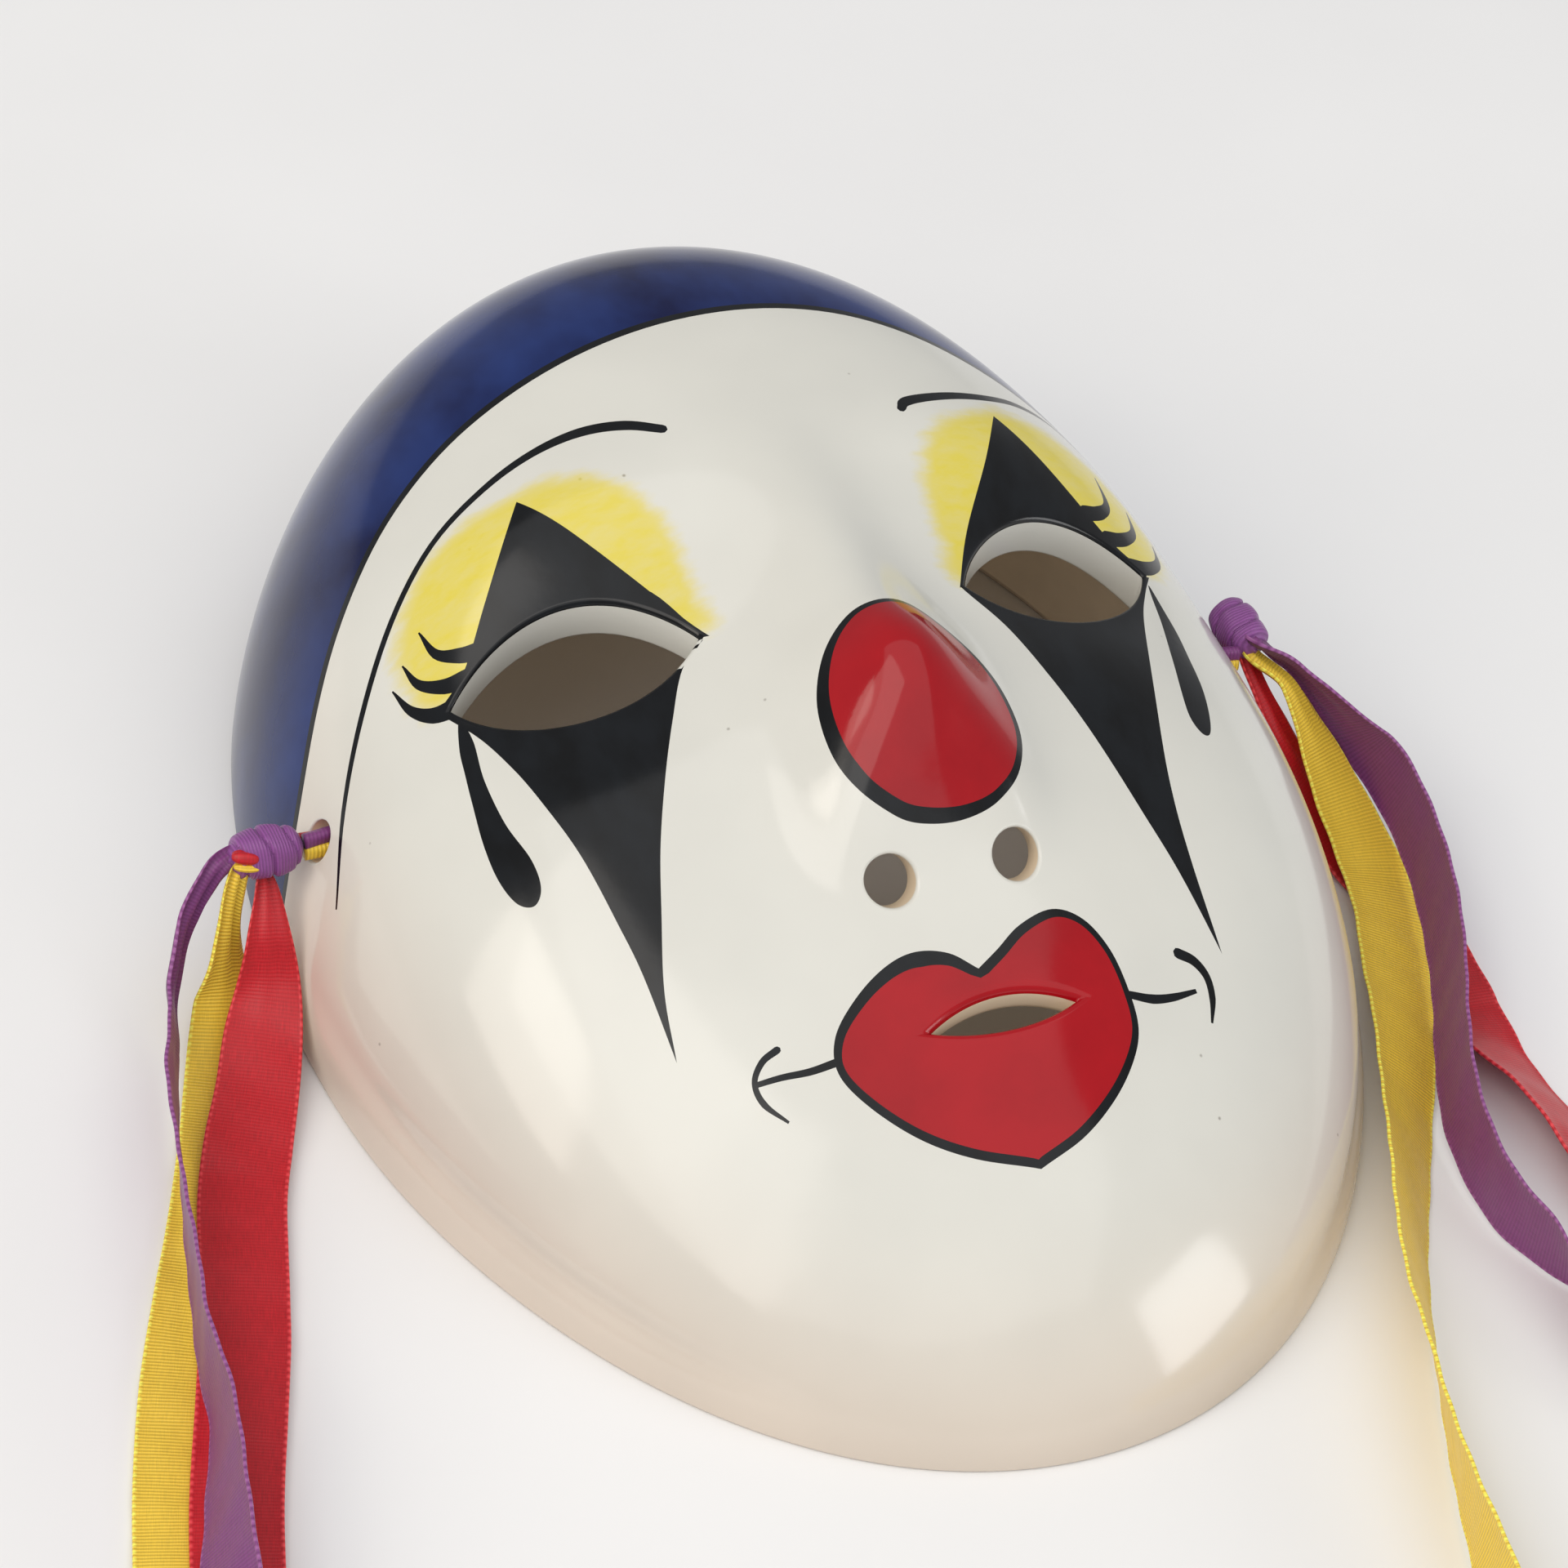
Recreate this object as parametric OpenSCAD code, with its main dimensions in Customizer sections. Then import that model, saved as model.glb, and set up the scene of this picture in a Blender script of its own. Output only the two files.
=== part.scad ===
// Small slip-cast ceramic clown mask that lies face up on its flat back rim,
// with three satin ribbons knotted through a hole at each temple.
// +X is the viewer's right, +Y runs from chin to crown, +Z comes out of the face.
// The origin is in the middle of the mask's length and width, on the rim plane.

/* [Mask shell] */
// Length of the mask from chin to crown
mask_length = 165; // [155:1:175]
// Width of the mask across the temples
mask_width = 120; // [114:1:126]
// Height of the plain dome before the nose and brow are added
dome_height = 43; // [40:0.5:46]
// Thickness of the fired wall
wall = 4.2; // [3.6:0.1:4.6]
// How far the tip of the nose stands out of the dome
nose_height = 11; // [8:0.5:13]

/* [Openings] */
// Length of an eye opening from corner to corner
eye_length = 27; // [24:0.5:28]
// Height of an eye opening
eye_height = 13.8; // [12:0.2:15]
// Length of the mouth opening
mouth_length = 20.6; // [18:0.2:22]
// Height of the mouth opening
mouth_height = 5.4; // [5:0.1:6]
// Diameter of a nostril
nostril_d = 6.4; // [5:0.1:7]
// Diameter of the hole that the ribbons pass through
ribbon_hole_d = 5; // [4.6:0.1:5.5]

/* [Ribbons] */
// Width of the satin ribbon
ribbon_width = 9.5; // [9:0.5:10]
// Thickness of the ribbon as modelled, woven selvedge included
ribbon_thick = 0.5; // [0.4:0.05:0.6]
// Diameter of the three ribbons pressed together in the hole
strand_d = 3.6; // [3:0.1:4]

/* [Hidden] */

left = -1;
right = 1;

// The back rim is a rounded egg, given by its radius at an angle from the crown
rim_egg = 9.6;      // how much further the crown is from the pole than the chin
rim_jaw = 1.8;      // fullness of the temples against the jaw
rim_square = 1.4;   // squareness of the corners
rim_oval = (mask_length - mask_width) / 4;
rim_mean = (mask_length + mask_width) / 4 - rim_square;
pole_y = -rim_egg - rim_jaw;
// The dome's highest ring is nearer the crown than its rim is
crest_shift = 24;
side_bulge = 0.72;  // exponent below 1 makes the side walls stand up
front_round = 1.06; // exponent above 1 makes the front slope to the chin
lean = 0.0054;      // rise of the dome for each millimetre towards the crown
relief_end = 0.6;   // the face's relief fades out from here to the rim

// Relief of the face: centre x, centre y, reach in x, reach in y, height.
// Those off the middle line are repeated on the other side.
relief = [
    [0, -16, 11, 12, nose_height],          // tip of the nose
    [0, 2, 8, 17, nose_height * 0.42],      // bridge of the nose
    [9, -25, 5, 6, 2],                      // wing of the nose
    [22, 20, 20, 9, 1.5],                   // brow
    [29, 4, 17, 12, -3.5],                  // eye socket
    [36, -20, 16, 16, 1.2],                 // cheek
    [0, -49, 17, 9, 2.4],                   // lips
    [0, -69, 14, 8, 1.6]];                  // chin

sectors = 64;
rings = 22;

// Centre of the eye opening on the viewer's right, and its tilt
eye_x = 28.8;
eye_y = 4.6;
eye_tilt = 10;
mouth_y = -46.8;
nostril_x = 7.3;
nostril_y = -31;
nostril_z = 37;
nostril_lean = 52;  // angle between a nostril's bore and +Z
hole_y = 7;
hole_z = 19;
cut_z = 70;         // height that clears the whole mask

// Where the wall stands at the ribbon hole, outside and inside
wall_out = 55.8;
wall_in = 50.7;
knot_gap = 1.2;     // from the wall to the outer knot, taken up by the soft ribbons
knot_seat = 1.8;    // from the inner knot to the wall
strand_proud = 0.4; // how far the pressed ribbons stand out of the hole

// End of the right outer knot that is nearer the crown
right_knot_x = 58.6;
right_knot_y = 14;
right_knot_z = 20.2;

function rim_radius(a) =
    rim_mean + rim_egg * cos(a) + rim_oval * cos(2 * a)
    + rim_jaw * cos(3 * a) + rim_square * cos(4 * a);

function bump(x, y, b) =
    b[4] * exp(-pow((x - b[0]) / b[2], 2) - pow((y - b[1]) / b[3], 2));

function relief_at(x, y, i = 0) =
    i == len(relief) ? 0 :
    bump(x, y, relief[i]) + (relief[i][0] == 0 ? 0 : bump(-x, y, relief[i]))
    + relief_at(x, y, i + 1);

function fade(t) =
    t < relief_end ? 1 : pow(cos(90 * (t - relief_end) / (1 - relief_end)), 2);

// A point of the shell at angle a and at t from the crest (0) to the rim (1)
function shell_point(a, t, inset) =
    let (
        spread = pow(sin(90 * t), side_bulge),
        radius = (rim_radius(a) - inset) * spread,
        x = radius * sin(a),
        y = radius * cos(a) + pole_y + crest_shift * (1 - spread),
        rise = (dome_height - inset) * pow(max(0, cos(90 * t)), front_round))
    [x, y, t == 1 ? 0 : rise * (1 + lean * (y - pole_y)) + fade(t) * relief_at(x, y)];

function shell_skin(inset) = [
    shell_point(0, 0, inset),
    for (ring = [1:rings]) for (k = [0:sectors - 1])
        shell_point(360 * k / sectors, ring / rings, inset)];

// Index of a point in one skin, with first the number of its crest point
function at(first, ring, k) = first + 1 + (ring - 1) * sectors + k % sectors;

module shell_body() {
    inner = 1 + rings * sectors;
    polyhedron(
        points = concat(shell_skin(0), shell_skin(wall)),
        faces = concat(
            [for (k = [0:sectors - 1]) [0, at(0, 1, k), at(0, 1, k + 1)]],
            [for (ring = [1:rings - 1]) for (k = [0:sectors - 1]) each [
                [at(0, ring, k), at(0, ring + 1, k), at(0, ring + 1, k + 1)],
                [at(0, ring, k), at(0, ring + 1, k + 1), at(0, ring, k + 1)]]],
            [for (k = [0:sectors - 1]) [inner, at(inner, 1, k + 1), at(inner, 1, k)]],
            [for (ring = [1:rings - 1]) for (k = [0:sectors - 1]) each [
                [at(inner, ring, k), at(inner, ring + 1, k + 1), at(inner, ring + 1, k)],
                [at(inner, ring, k), at(inner, ring, k + 1), at(inner, ring + 1, k + 1)]]],
            [for (k = [0:sectors - 1]) each [
                [at(0, rings, k), at(inner, rings, k), at(inner, rings, k + 1)],
                [at(0, rings, k), at(inner, rings, k + 1), at(0, rings, k + 1)]]]),
        convexity = 6);
}

// An almond between two arcs, length by height
module almond(length, height) {
    radius = (pow(length, 2) + pow(height, 2)) / (4 * height);
    intersection() {
        translate([0, radius - height / 2]) circle(r = radius, $fn = 96);
        translate([0, height / 2 - radius]) circle(r = radius, $fn = 96);
    }
}

module mask_shell() {
    color("ivory") difference() {
        shell_body();
        for (side = [left, right]) {
            translate([side * eye_x, eye_y, 0]) rotate(side * eye_tilt)
                linear_extrude(cut_z) almond(eye_length, eye_height);
            translate([side * nostril_x, nostril_y, nostril_z])
                rotate([nostril_lean, 0, 0])
                    cylinder(h = 30, d = nostril_d, center = true, $fn = 48);
            translate([side * (wall_in - 6), hole_y, hole_z]) rotate([0, side * 90, 0])
                cylinder(h = 20, d = ribbon_hole_d, $fn = 48);
        }
        translate([0, mouth_y, 0]) linear_extrude(cut_z) almond(mouth_length, mouth_height);
    }
}

// Ribbon drawn tight into a lump round the X axis, from the origin towards +X
module knot(length, waist, swell) {
    rotate([0, 90, 0]) rotate_extrude($fn = 48) intersection() {
        square([swell, length]);
        hull() {
            translate([0, waist]) circle(r = waist, $fn = 48);
            translate([0, length / 2]) circle(r = swell, $fn = 48);
            translate([0, length - waist]) circle(r = waist, $fn = 48);
        }
    }
}

module inner_knot(side) {
    translate([side * (wall_in - knot_seat), hole_y, hole_z]) rotate(side > 0 ? 180 : 0)
        color("purple") knot(7, 3, 4);
}

module hole_strand(side) {
    color("indigo") translate([side * (wall_in - knot_seat), hole_y, hole_z]) rotate([0, side * 90, 0])
        cylinder(h = wall_out - wall_in + knot_seat + strand_proud, d = strand_d, $fn = 32);
}

module left_outer_knot() {
    color("purple") translate([-wall_out - knot_gap, hole_y, hole_z]) rotate(180)
        knot(9, 2.5, 3);
}

// The right knot lies along the wall, turned down towards the chin
module right_outer_knot() {
    color("purple") translate([right_knot_x, right_knot_y, right_knot_z]) rotate(-86)
        knot(8, 2.4, 2.9);
}

// Routes of the ribbons. Each point is x, y, height of the ribbon's lowest edge,
// turn of its flat side from lying to standing, and width.
left_purple_route = [
    [-65.6, 6.9, 18.6, 20, 2.6], [-68, 6.1, 16.6, 55, 4], [-71, 4.5, 11.5, 72, 7],
    [-73.5, 0.5, 5.6, 76, 10], [-75.5, -6, 3, 78, 10], [-78, -13, 2, 79, 10],
    [-80, -21, 1.6, 82, 10], [-82, -29, 1.8, 86, 10], [-84, -38, 2, 90, 10],
    [-86, -46.5, 2.4, 92, 10], [-87, -54.5, 2.5, 98, 10], [-89, -61.5, 2.6, 108, 10],
    [-91, -68, 2.6, 115, 10], [-93.5, -76, 2.6, 128, 10], [-97, -88, 2.7, 150, 10],
    [-103, -105, 2.6, 172, 10], [-110, -124, 2.3, 180, 10]];
left_yellow_route = [
    [-65.2, 5.2, 16.6, 30, 2.6], [-66.5, 3.2, 10.5, 40, 4], [-67.4, 0, 3.5, 20, 8],
    [-69.2, -7, 0.4, 5, 10], [-73.4, -17, 0.1, 2, 10], [-78, -27, 0.3, -1, 10],
    [-83, -37, 0.1, 2, 10], [-87.5, -46.5, 0.2, -2, 10], [-92, -58, 0.1, 1, 10],
    [-96, -70, 0.3, -2, 10], [-101, -84, 0.1, 2, 10], [-106, -98, 0.4, -1, 10],
    [-113, -114, 0.1, 1, 10]];
left_red_route = [
    [-61.9, 5.2, 16.2, 0, 2.6], [-62.6, 1, 12, 1, 5.2], [-63.4, -2, 7.4, 0, 7.4],
    [-65.2, -6, 4.2, 3, 9], [-67.8, -11.8, 2.6, 0, 9.5], [-70.8, -17.8, 1.6, 2, 10],
    [-74, -25, 1.3, -1, 10], [-77, -34, 1.4, 2, 10], [-80, -43, 1.3, -1, 10],
    [-83.5, -52, 1.5, 1, 10], [-88, -63.5, 1.3, -2, 10], [-92, -76, 1.5, 1, 10],
    [-96, -90, 1.3, -1, 10], [-101, -105, 1.4, 1, 10], [-107, -120, 0.9, 2, 10]];
right_purple_route = [
    [59.3, 6.3, 20.6, 20, 2.6], [64.3, 4.6, 16.2, 45, 4], [68.4, 1.3, 10.8, 70, 7],
    [71.2, -3, 6.3, 85, 10], [72.7, -9.3, 3.8, 95, 10], [72, -17.5, 2.4, 98, 10],
    [69.4, -26.7, 2, 100, 10], [65.5, -36, 2.1, 100, 10], [61, -45, 2, 100, 10],
    [57.5, -53.5, 1.6, 99, 10], [56, -61, 1, 95, 10], [56, -68, 0.5, 90, 10],
    [57.8, -74.5, 0.3, 80, 10], [60, -83, 0.2, 50, 10], [62, -94, 0.3, 20, 10],
    [63.5, -105, 0.1, 3, 10], [64.5, -117, 0.3, -2, 10]];
right_yellow_route = [
    [59.2, 6.2, 18.8, 0, 2.6], [62.8, 3.6, 15.9, 5, 4], [65.4, -0.4, 10.5, 10, 6.5],
    [67, -6.5, 5.6, 10, 8.5], [67.6, -14, 2.2, 12, 9.5], [65.9, -22.3, 1, 18, 10],
    [62.1, -31.5, 1.2, 20, 10], [57.8, -41, 1.3, 30, 10], [53, -50.5, 0.3, 42, 10],
    [48.4, -59.5, 0.2, 51, 10], [44, -68, 0.3, 57, 10], [40.4, -76.5, 0.2, 62, 10],
    [37.5, -85, 0.3, 70, 10], [34.5, -94, 0.2, 77, 10], [32, -103, 0.3, 85, 10],
    [30, -112, 0.2, 95, 10], [27.5, -122, 0.3, 104, 10]];
right_red_route = [
    [58.9, 7, 17.9, 0, 2.6], [61.8, 0.6, 11, 1, 4.5], [65, -4, 5.5, 0, 7.5],
    [67.4, -10.5, 1.4, 1, 9.5], [69.6, -18, 0.2, 0, 10], [69.5, -27, 0.1, 1, 10],
    [68.5, -36.5, 0.2, 0, 10], [68.2, -45.5, 0.1, 28, 10], [69.2, -54, 0.2, 38, 10],
    [70.5, -64, 0.1, 30, 10], [72, -75, 0.2, 10, 10], [74.5, -88, 0.3, -1, 10],
    [77, -101, 0.1, 1, 10], [79.5, -114, 0.3, -1, 10]];

function unit(v) = v / norm(v);

// Direction of a route at point i
function heading(route, i) =
    let (
        before = route[max(i - 1, 0)],
        after = route[min(i + 1, len(route) - 1)])
    unit([for (axis = [0:2]) after[axis] - before[axis]]);

// Eight points round a flat ribbon at point i of its route
function ribbon_ring(route, i) =
    let (
        p = route[i],
        way = heading(route, i),
        level = unit(cross(way, [0, 0, 1])),
        up = cross(level, way),
        across = cos(p[3]) * level + sin(p[3]) * up,
        normal = cross(across, way),
        half = p[4] * ribbon_width / 20,
        thick = ribbon_thick / 2 * (p[4] < 9 ? 2 - p[4] / 9 : 1),
        centre = [p[0], p[1], p[2] + half * abs(across[2]) + thick])
    [for (c = [[-1, 0], [-0.9, 1], [0, 1], [0.9, 1], [1, 0], [0.9, -1], [0, -1], [-0.9, -1]])
        centre + c[0] * half * across + c[1] * thick * normal];

module ribbon(route) {
    sides = 8;
    last = len(route) - 1;
    polyhedron(
        points = [for (i = [0:last]) each ribbon_ring(route, i)],
        faces = concat(
            [[for (k = [0:sides - 1]) k]],
            [for (i = [0:last - 1]) for (k = [0:sides - 1])
                let (a = i * sides + k, b = i * sides + (k + 1) % sides)
                // both sides of the ribbon are split along the same diagonals, so a
                // twisted stretch stays as thick as a flat one
                each k < sides / 2 ?
                    [[a, a + sides, b + sides], [a, b + sides, b]] :
                    [[a, a + sides, b], [b, a + sides, b + sides]]],
            [[for (k = [sides - 1:-1:0]) last * sides + k]]));
}

module left_inner_knot() inner_knot(left);
module right_inner_knot() inner_knot(right);
module left_hole_strand() hole_strand(left);
module right_hole_strand() hole_strand(right);
module left_purple_ribbon() color("darkorchid") ribbon(left_purple_route);
module left_yellow_ribbon() color("gold") ribbon(left_yellow_route);
module left_red_ribbon() color("firebrick") ribbon(left_red_route);
module right_purple_ribbon() color("darkorchid") ribbon(right_purple_route);
module right_yellow_ribbon() color("gold") ribbon(right_yellow_route);
module right_red_ribbon() color("firebrick") ribbon(right_red_route);

mask_shell();
left_inner_knot();
left_hole_strand();
left_outer_knot();
left_purple_ribbon();
left_yellow_ribbon();
left_red_ribbon();
right_inner_knot();
right_hole_strand();
right_outer_knot();
right_purple_ribbon();
right_yellow_ribbon();
right_red_ribbon();
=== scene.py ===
import math

import bmesh
import bpy
import numpy as np
from mathutils import Matrix, Vector
from mathutils.geometry import delaunay_2d_cdt


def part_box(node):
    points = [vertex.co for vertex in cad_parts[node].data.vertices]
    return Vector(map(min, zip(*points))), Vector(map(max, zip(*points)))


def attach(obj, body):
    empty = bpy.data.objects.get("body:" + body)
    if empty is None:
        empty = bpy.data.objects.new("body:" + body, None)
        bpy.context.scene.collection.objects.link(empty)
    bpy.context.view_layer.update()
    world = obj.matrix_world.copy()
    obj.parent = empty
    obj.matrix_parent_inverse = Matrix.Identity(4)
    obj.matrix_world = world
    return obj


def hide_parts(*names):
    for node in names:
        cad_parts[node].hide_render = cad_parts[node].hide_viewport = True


bl_info = {
    "name": "Ceramic clown mask",
    "version": (1, 0, 0),
    "blender": (4, 5, 0),
    "location": "3D View > Sidebar > Clown mask",
    "description": "Glazed, hand-painted ceramic mask with satin ribbons knotted at the temples",
    "category": "Add Mesh",
}

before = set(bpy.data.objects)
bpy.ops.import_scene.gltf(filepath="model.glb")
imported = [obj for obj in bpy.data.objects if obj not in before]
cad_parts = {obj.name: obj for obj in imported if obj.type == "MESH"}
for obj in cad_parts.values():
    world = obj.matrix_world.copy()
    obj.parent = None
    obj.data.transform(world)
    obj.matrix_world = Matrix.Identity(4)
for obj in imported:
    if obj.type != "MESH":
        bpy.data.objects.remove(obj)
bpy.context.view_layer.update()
MM = 0.001

# All shapes below are worked out in millimetres, in the part's own frame:
# +X is the viewer's right, +Y runs from chin to crown, +Z comes out of the face.
LOW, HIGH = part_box("mask_shell")
MASK_WIDTH = 120.0
MASK_LENGTH = (HIGH[1] - LOW[1]) / MM

# The back rim is a rounded egg, and the dome's crest lies nearer the crown than the rim does
RIM_EGG = 9.6
RIM_JAW = 1.8
RIM_SQUARE = 1.4
RIM_OVAL = (MASK_LENGTH - MASK_WIDTH) / 4
RIM_MEAN = (MASK_LENGTH + MASK_WIDTH) / 4 - RIM_SQUARE
POLE_Y = -RIM_EGG - RIM_JAW
CREST_SHIFT = 24.0
DOME_HEIGHT = 43.0
SIDE_BULGE = 0.72
FRONT_ROUND = 1.06
LEAN = 0.0054
RELIEF_END = 0.6
WALL = 4.2
NOSE_HEIGHT = 11.0

# Relief of the face: centre x, centre y, reach in x, reach in y, height
RELIEF = [
    (0, -16, 11, 12, NOSE_HEIGHT),
    (0, 2, 8, 17, NOSE_HEIGHT * 0.42),
    (9, -25, 5, 6, 2),
    (22, 20, 20, 9, 1.5),
    (29, 4, 17, 12, -3.5),
    (36, -20, 16, 16, 1.2),
    (0, -49, 17, 9, 2.4),
    (0, -69, 14, 8, 1.6),
]

UNROLLED = 90.0  # radius of the disc that the skin is laid out on before it is rounded
RIM_T = 0.987  # where the rounding of the rim begins
RIM_STEPS = 480
GLAZE_ROUND = 0.5  # radius that the glaze leaves on the rim

GROOVE_DEPTH = 0.7  # soft groove that sets off the border below each temple
GROOVE_T = 0.87
GROOVE_REACH = 0.03

HOLE = (55.8, 7.0, 19.0)
WALL_IN = 50.7


def linear(hex_colour):
    """Turns an sRGB hex colour into linear red, green, blue and alpha."""
    values = [int(hex_colour[i : i + 2], 16) / 255 for i in (1, 3, 5)]
    return [v / 12.92 if v < 0.04045 else ((v + 0.055) / 1.055) ** 2.4 for v in values] + [1.0]


def colour_property(name, description, hex_colour):
    """A colour setting whose default is an sRGB hex value."""
    return bpy.props.FloatVectorProperty(
        name=name, description=description, subtype="COLOR", size=4, min=0, max=1,
        default=linear(hex_colour),
    )


# ---------------------------------------------------------------- settings


class MaskColours(bpy.types.PropertyGroup):
    """Colours of the glaze, the paint and the ribbons."""

    glaze: colour_property("Glaze", "Warm white of the clear-glazed body", "#d7d6ce")
    # colour that the body takes, warmer and a little darker, towards the rim and down the side walls
    side: colour_property("Side walls", "Warmer, a little darker colour towards the rim", "#dac8b6")
    # the inside colour is also the colour of the inside's painted glow
    inside: colour_property("Inside", "Thin wash of glaze on the back", "#d9c6ab")
    cap: colour_property("Cap", "Cobalt blue where it is thin", "#20336c")
    cap_deep: colour_property("Cap, deep", "Cobalt blue where it pools", "#0c1440")
    black: colour_property("Black", "Black line and lid paint", "#060709")
    nose: colour_property("Nose", "Red of the nose", "#a3131c")
    lips: colour_property("Lips", "Red of the lips", "#a80c18")
    lids: colour_property("Lids", "Brushed yellow over the eyes", "#dccb45")
    purple: colour_property("Purple ribbon", "Purple satin", "#7c3d78")
    # painted highlight: the knots are the purple ribbon's own satin in a lighter, pinker purple that stands
    # for the light on them
    knot: colour_property("Purple knots", "Purple satin painted lighter, as a painted highlight", "#8c4f92")
    yellow: colour_property("Yellow ribbon", "Yellow satin", "#f0cb42")
    red: colour_property("Red ribbon", "Red satin", "#bf1a25")


class MaskSizes(bpy.types.PropertyGroup):
    """Sizes that the looks add to the frame."""

    grid: bpy.props.FloatProperty(
        name="Mesh spacing", description="Spacing of the outer skin's points",
        default=0.9 * MM, min=0.5 * MM, max=3 * MM, unit="LENGTH", precision=5,
    )
    ribbon_width: bpy.props.FloatProperty(
        name="Ribbon width", description="Width of the satin ribbon",
        default=9.5 * MM, min=6 * MM, max=12 * MM, unit="LENGTH", precision=5,
    )
    rib: bpy.props.FloatProperty(
        name="Rib spacing", description="Spacing of the ribs across a ribbon",
        default=0.42 * MM, min=0.1 * MM, max=1 * MM, unit="LENGTH", precision=5,
    )


# ---------------------------------------------------------------- materials


MIXED = 2  # the colour output of a mix node


def add_node(tree, kind, inputs=None, **settings):
    """Adds a node, applies its settings, and sets or links its inputs."""
    node = tree.nodes.new(kind)
    for name, value in settings.items():
        setattr(node, name, value)
    for name, value in (inputs or {}).items():
        if isinstance(value, bpy.types.NodeSocket):
            tree.links.new(value, node.inputs[name])
        else:
            node.inputs[name].default_value = value
    return node


def new_material(name, **shader_values):
    """An empty material with its shader, whose constant values stand on the shader's own sockets."""
    material = bpy.data.materials.new(name)
    material.use_nodes = True
    tree = material.node_tree
    shader = tree.nodes["Principled BSDF"]
    for socket, value in shader_values.items():
        shader.inputs[socket.replace("_", " ")].default_value = value
    return material, tree, shader


def glaze_surface(tree, shader, place):
    """Clear gloss glaze: slow waves from the flow of the glaze and a faint pinhole grain."""
    waves = add_node(tree, "ShaderNodeTexNoise", {"Vector": place, "Scale": 55.0, "Detail": 1.0})
    grain = add_node(tree, "ShaderNodeTexNoise", {"Vector": place, "Scale": 900.0, "Detail": 2.0})
    slow = add_node(tree, "ShaderNodeBump", {
        "Height": waves.outputs["Fac"], "Strength": 0.35, "Distance": 0.6 * MM})
    fine = add_node(tree, "ShaderNodeBump", {
        "Height": grain.outputs["Fac"], "Normal": slow.outputs["Normal"],
        "Strength": 0.05, "Distance": 0.1 * MM})
    tree.links.new(fine.outputs["Normal"], shader.inputs["Normal"])


def white_glaze(colours):
    """Slip-cast earthenware under clear glaze: a warm, faintly mottled white with iron specks,
    warmer down the side walls, and a brushed yellow wash over the eyes."""
    material, tree, shader = new_material("slip-cast earthenware, clear glazed", Roughness=0.13, IOR=1.5)
    place = add_node(tree, "ShaderNodeTexCoord").outputs["Object"]
    cloud = add_node(tree, "ShaderNodeTexNoise", {"Vector": place, "Scale": 38.0, "Detail": 3.0})
    edge = add_node(tree, "ShaderNodeAttribute", attribute_name="edge").outputs["Fac"]
    # from halfway out to the rim the body turns towards the side-walls colour
    warmth = add_node(tree, "ShaderNodeMapRange", {
        "Value": edge, "From Min": 0.5, "From Max": 0.98, "To Min": 0.0, "To Max": 0.7},
        interpolation_type="SMOOTHSTEP")
    body = add_node(tree, "ShaderNodeMix", {
        "Factor": warmth.outputs["Result"], "A": colours.glaze, "B": colours.side}, data_type="RGBA")
    mottled = add_node(tree, "ShaderNodeMapRange", {
        "Value": cloud.outputs["Fac"], "From Min": 0.3, "From Max": 0.7, "To Min": 0.95, "To Max": 1.03})
    tinted = add_node(tree, "ShaderNodeVectorMath", {
        0: body.outputs[MIXED], "Scale": mottled.outputs["Result"]}, operation="SCALE")
    # iron specks about 0.3 mm across, at the heart of one in fourteen cells about 4 mm wide
    cells = add_node(tree, "ShaderNodeTexVoronoi", {"Vector": place, "Scale": 230.0, "Randomness": 1.0})
    rare = add_node(tree, "ShaderNodeSeparateColor", {"Color": cells.outputs["Color"]})
    chosen = add_node(tree, "ShaderNodeMath", {0: rare.outputs["Red"], 1: 0.93}, operation="GREATER_THAN")
    dot = add_node(tree, "ShaderNodeMapRange", {
        "Value": cells.outputs["Distance"], "From Min": 0.02, "From Max": 0.06,
        "To Min": 0.55, "To Max": 0.0})
    speck = add_node(tree, "ShaderNodeMath", {
        0: chosen.outputs["Value"], 1: dot.outputs["Result"]}, operation="MULTIPLY")
    specked = add_node(tree, "ShaderNodeMix", {
        "Factor": speck.outputs["Value"], "A": tinted.outputs["Vector"], "B": linear("#5b4a3c")},
        data_type="RGBA")
    # the yellow is brushed on thin, so its edge is soft and its strokes show
    wash = add_node(tree, "ShaderNodeAttribute", attribute_name="wash").outputs["Fac"]
    stretch = add_node(tree, "ShaderNodeMapping", {
        "Vector": place, "Scale": (1.0, 2.6, 1.0), "Rotation": (0.0, 0.0, 0.5)})
    bristle = add_node(tree, "ShaderNodeTexNoise", {
        "Vector": stretch.outputs["Vector"], "Scale": 260.0, "Detail": 3.0, "Roughness": 0.6})
    ragged = add_node(tree, "ShaderNodeMath", {
        0: bristle.outputs["Fac"], 1: 3.2, 2: wash}, operation="MULTIPLY_ADD")
    cover = add_node(tree, "ShaderNodeMapRange", {
        "Value": ragged.outputs["Value"], "From Min": 0.6, "From Max": 3.6,
        "To Min": 0.0, "To Max": 0.95},
        interpolation_type="SMOOTHSTEP")
    thin = add_node(tree, "ShaderNodeMapRange", {
        "Value": bristle.outputs["Fac"], "From Min": 0.35, "From Max": 0.7,
        "To Min": 1.0, "To Max": 0.82})
    paint = add_node(tree, "ShaderNodeMath", {
        0: cover.outputs["Result"], 1: thin.outputs["Result"]}, operation="MULTIPLY")
    painted = add_node(tree, "ShaderNodeMix", {
        "Factor": paint.outputs["Value"], "A": specked.outputs[MIXED], "B": colours.lids}, data_type="RGBA")
    tree.links.new(painted.outputs[MIXED], shader.inputs["Base Color"])
    glaze_surface(tree, shader, place)
    return material


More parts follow.
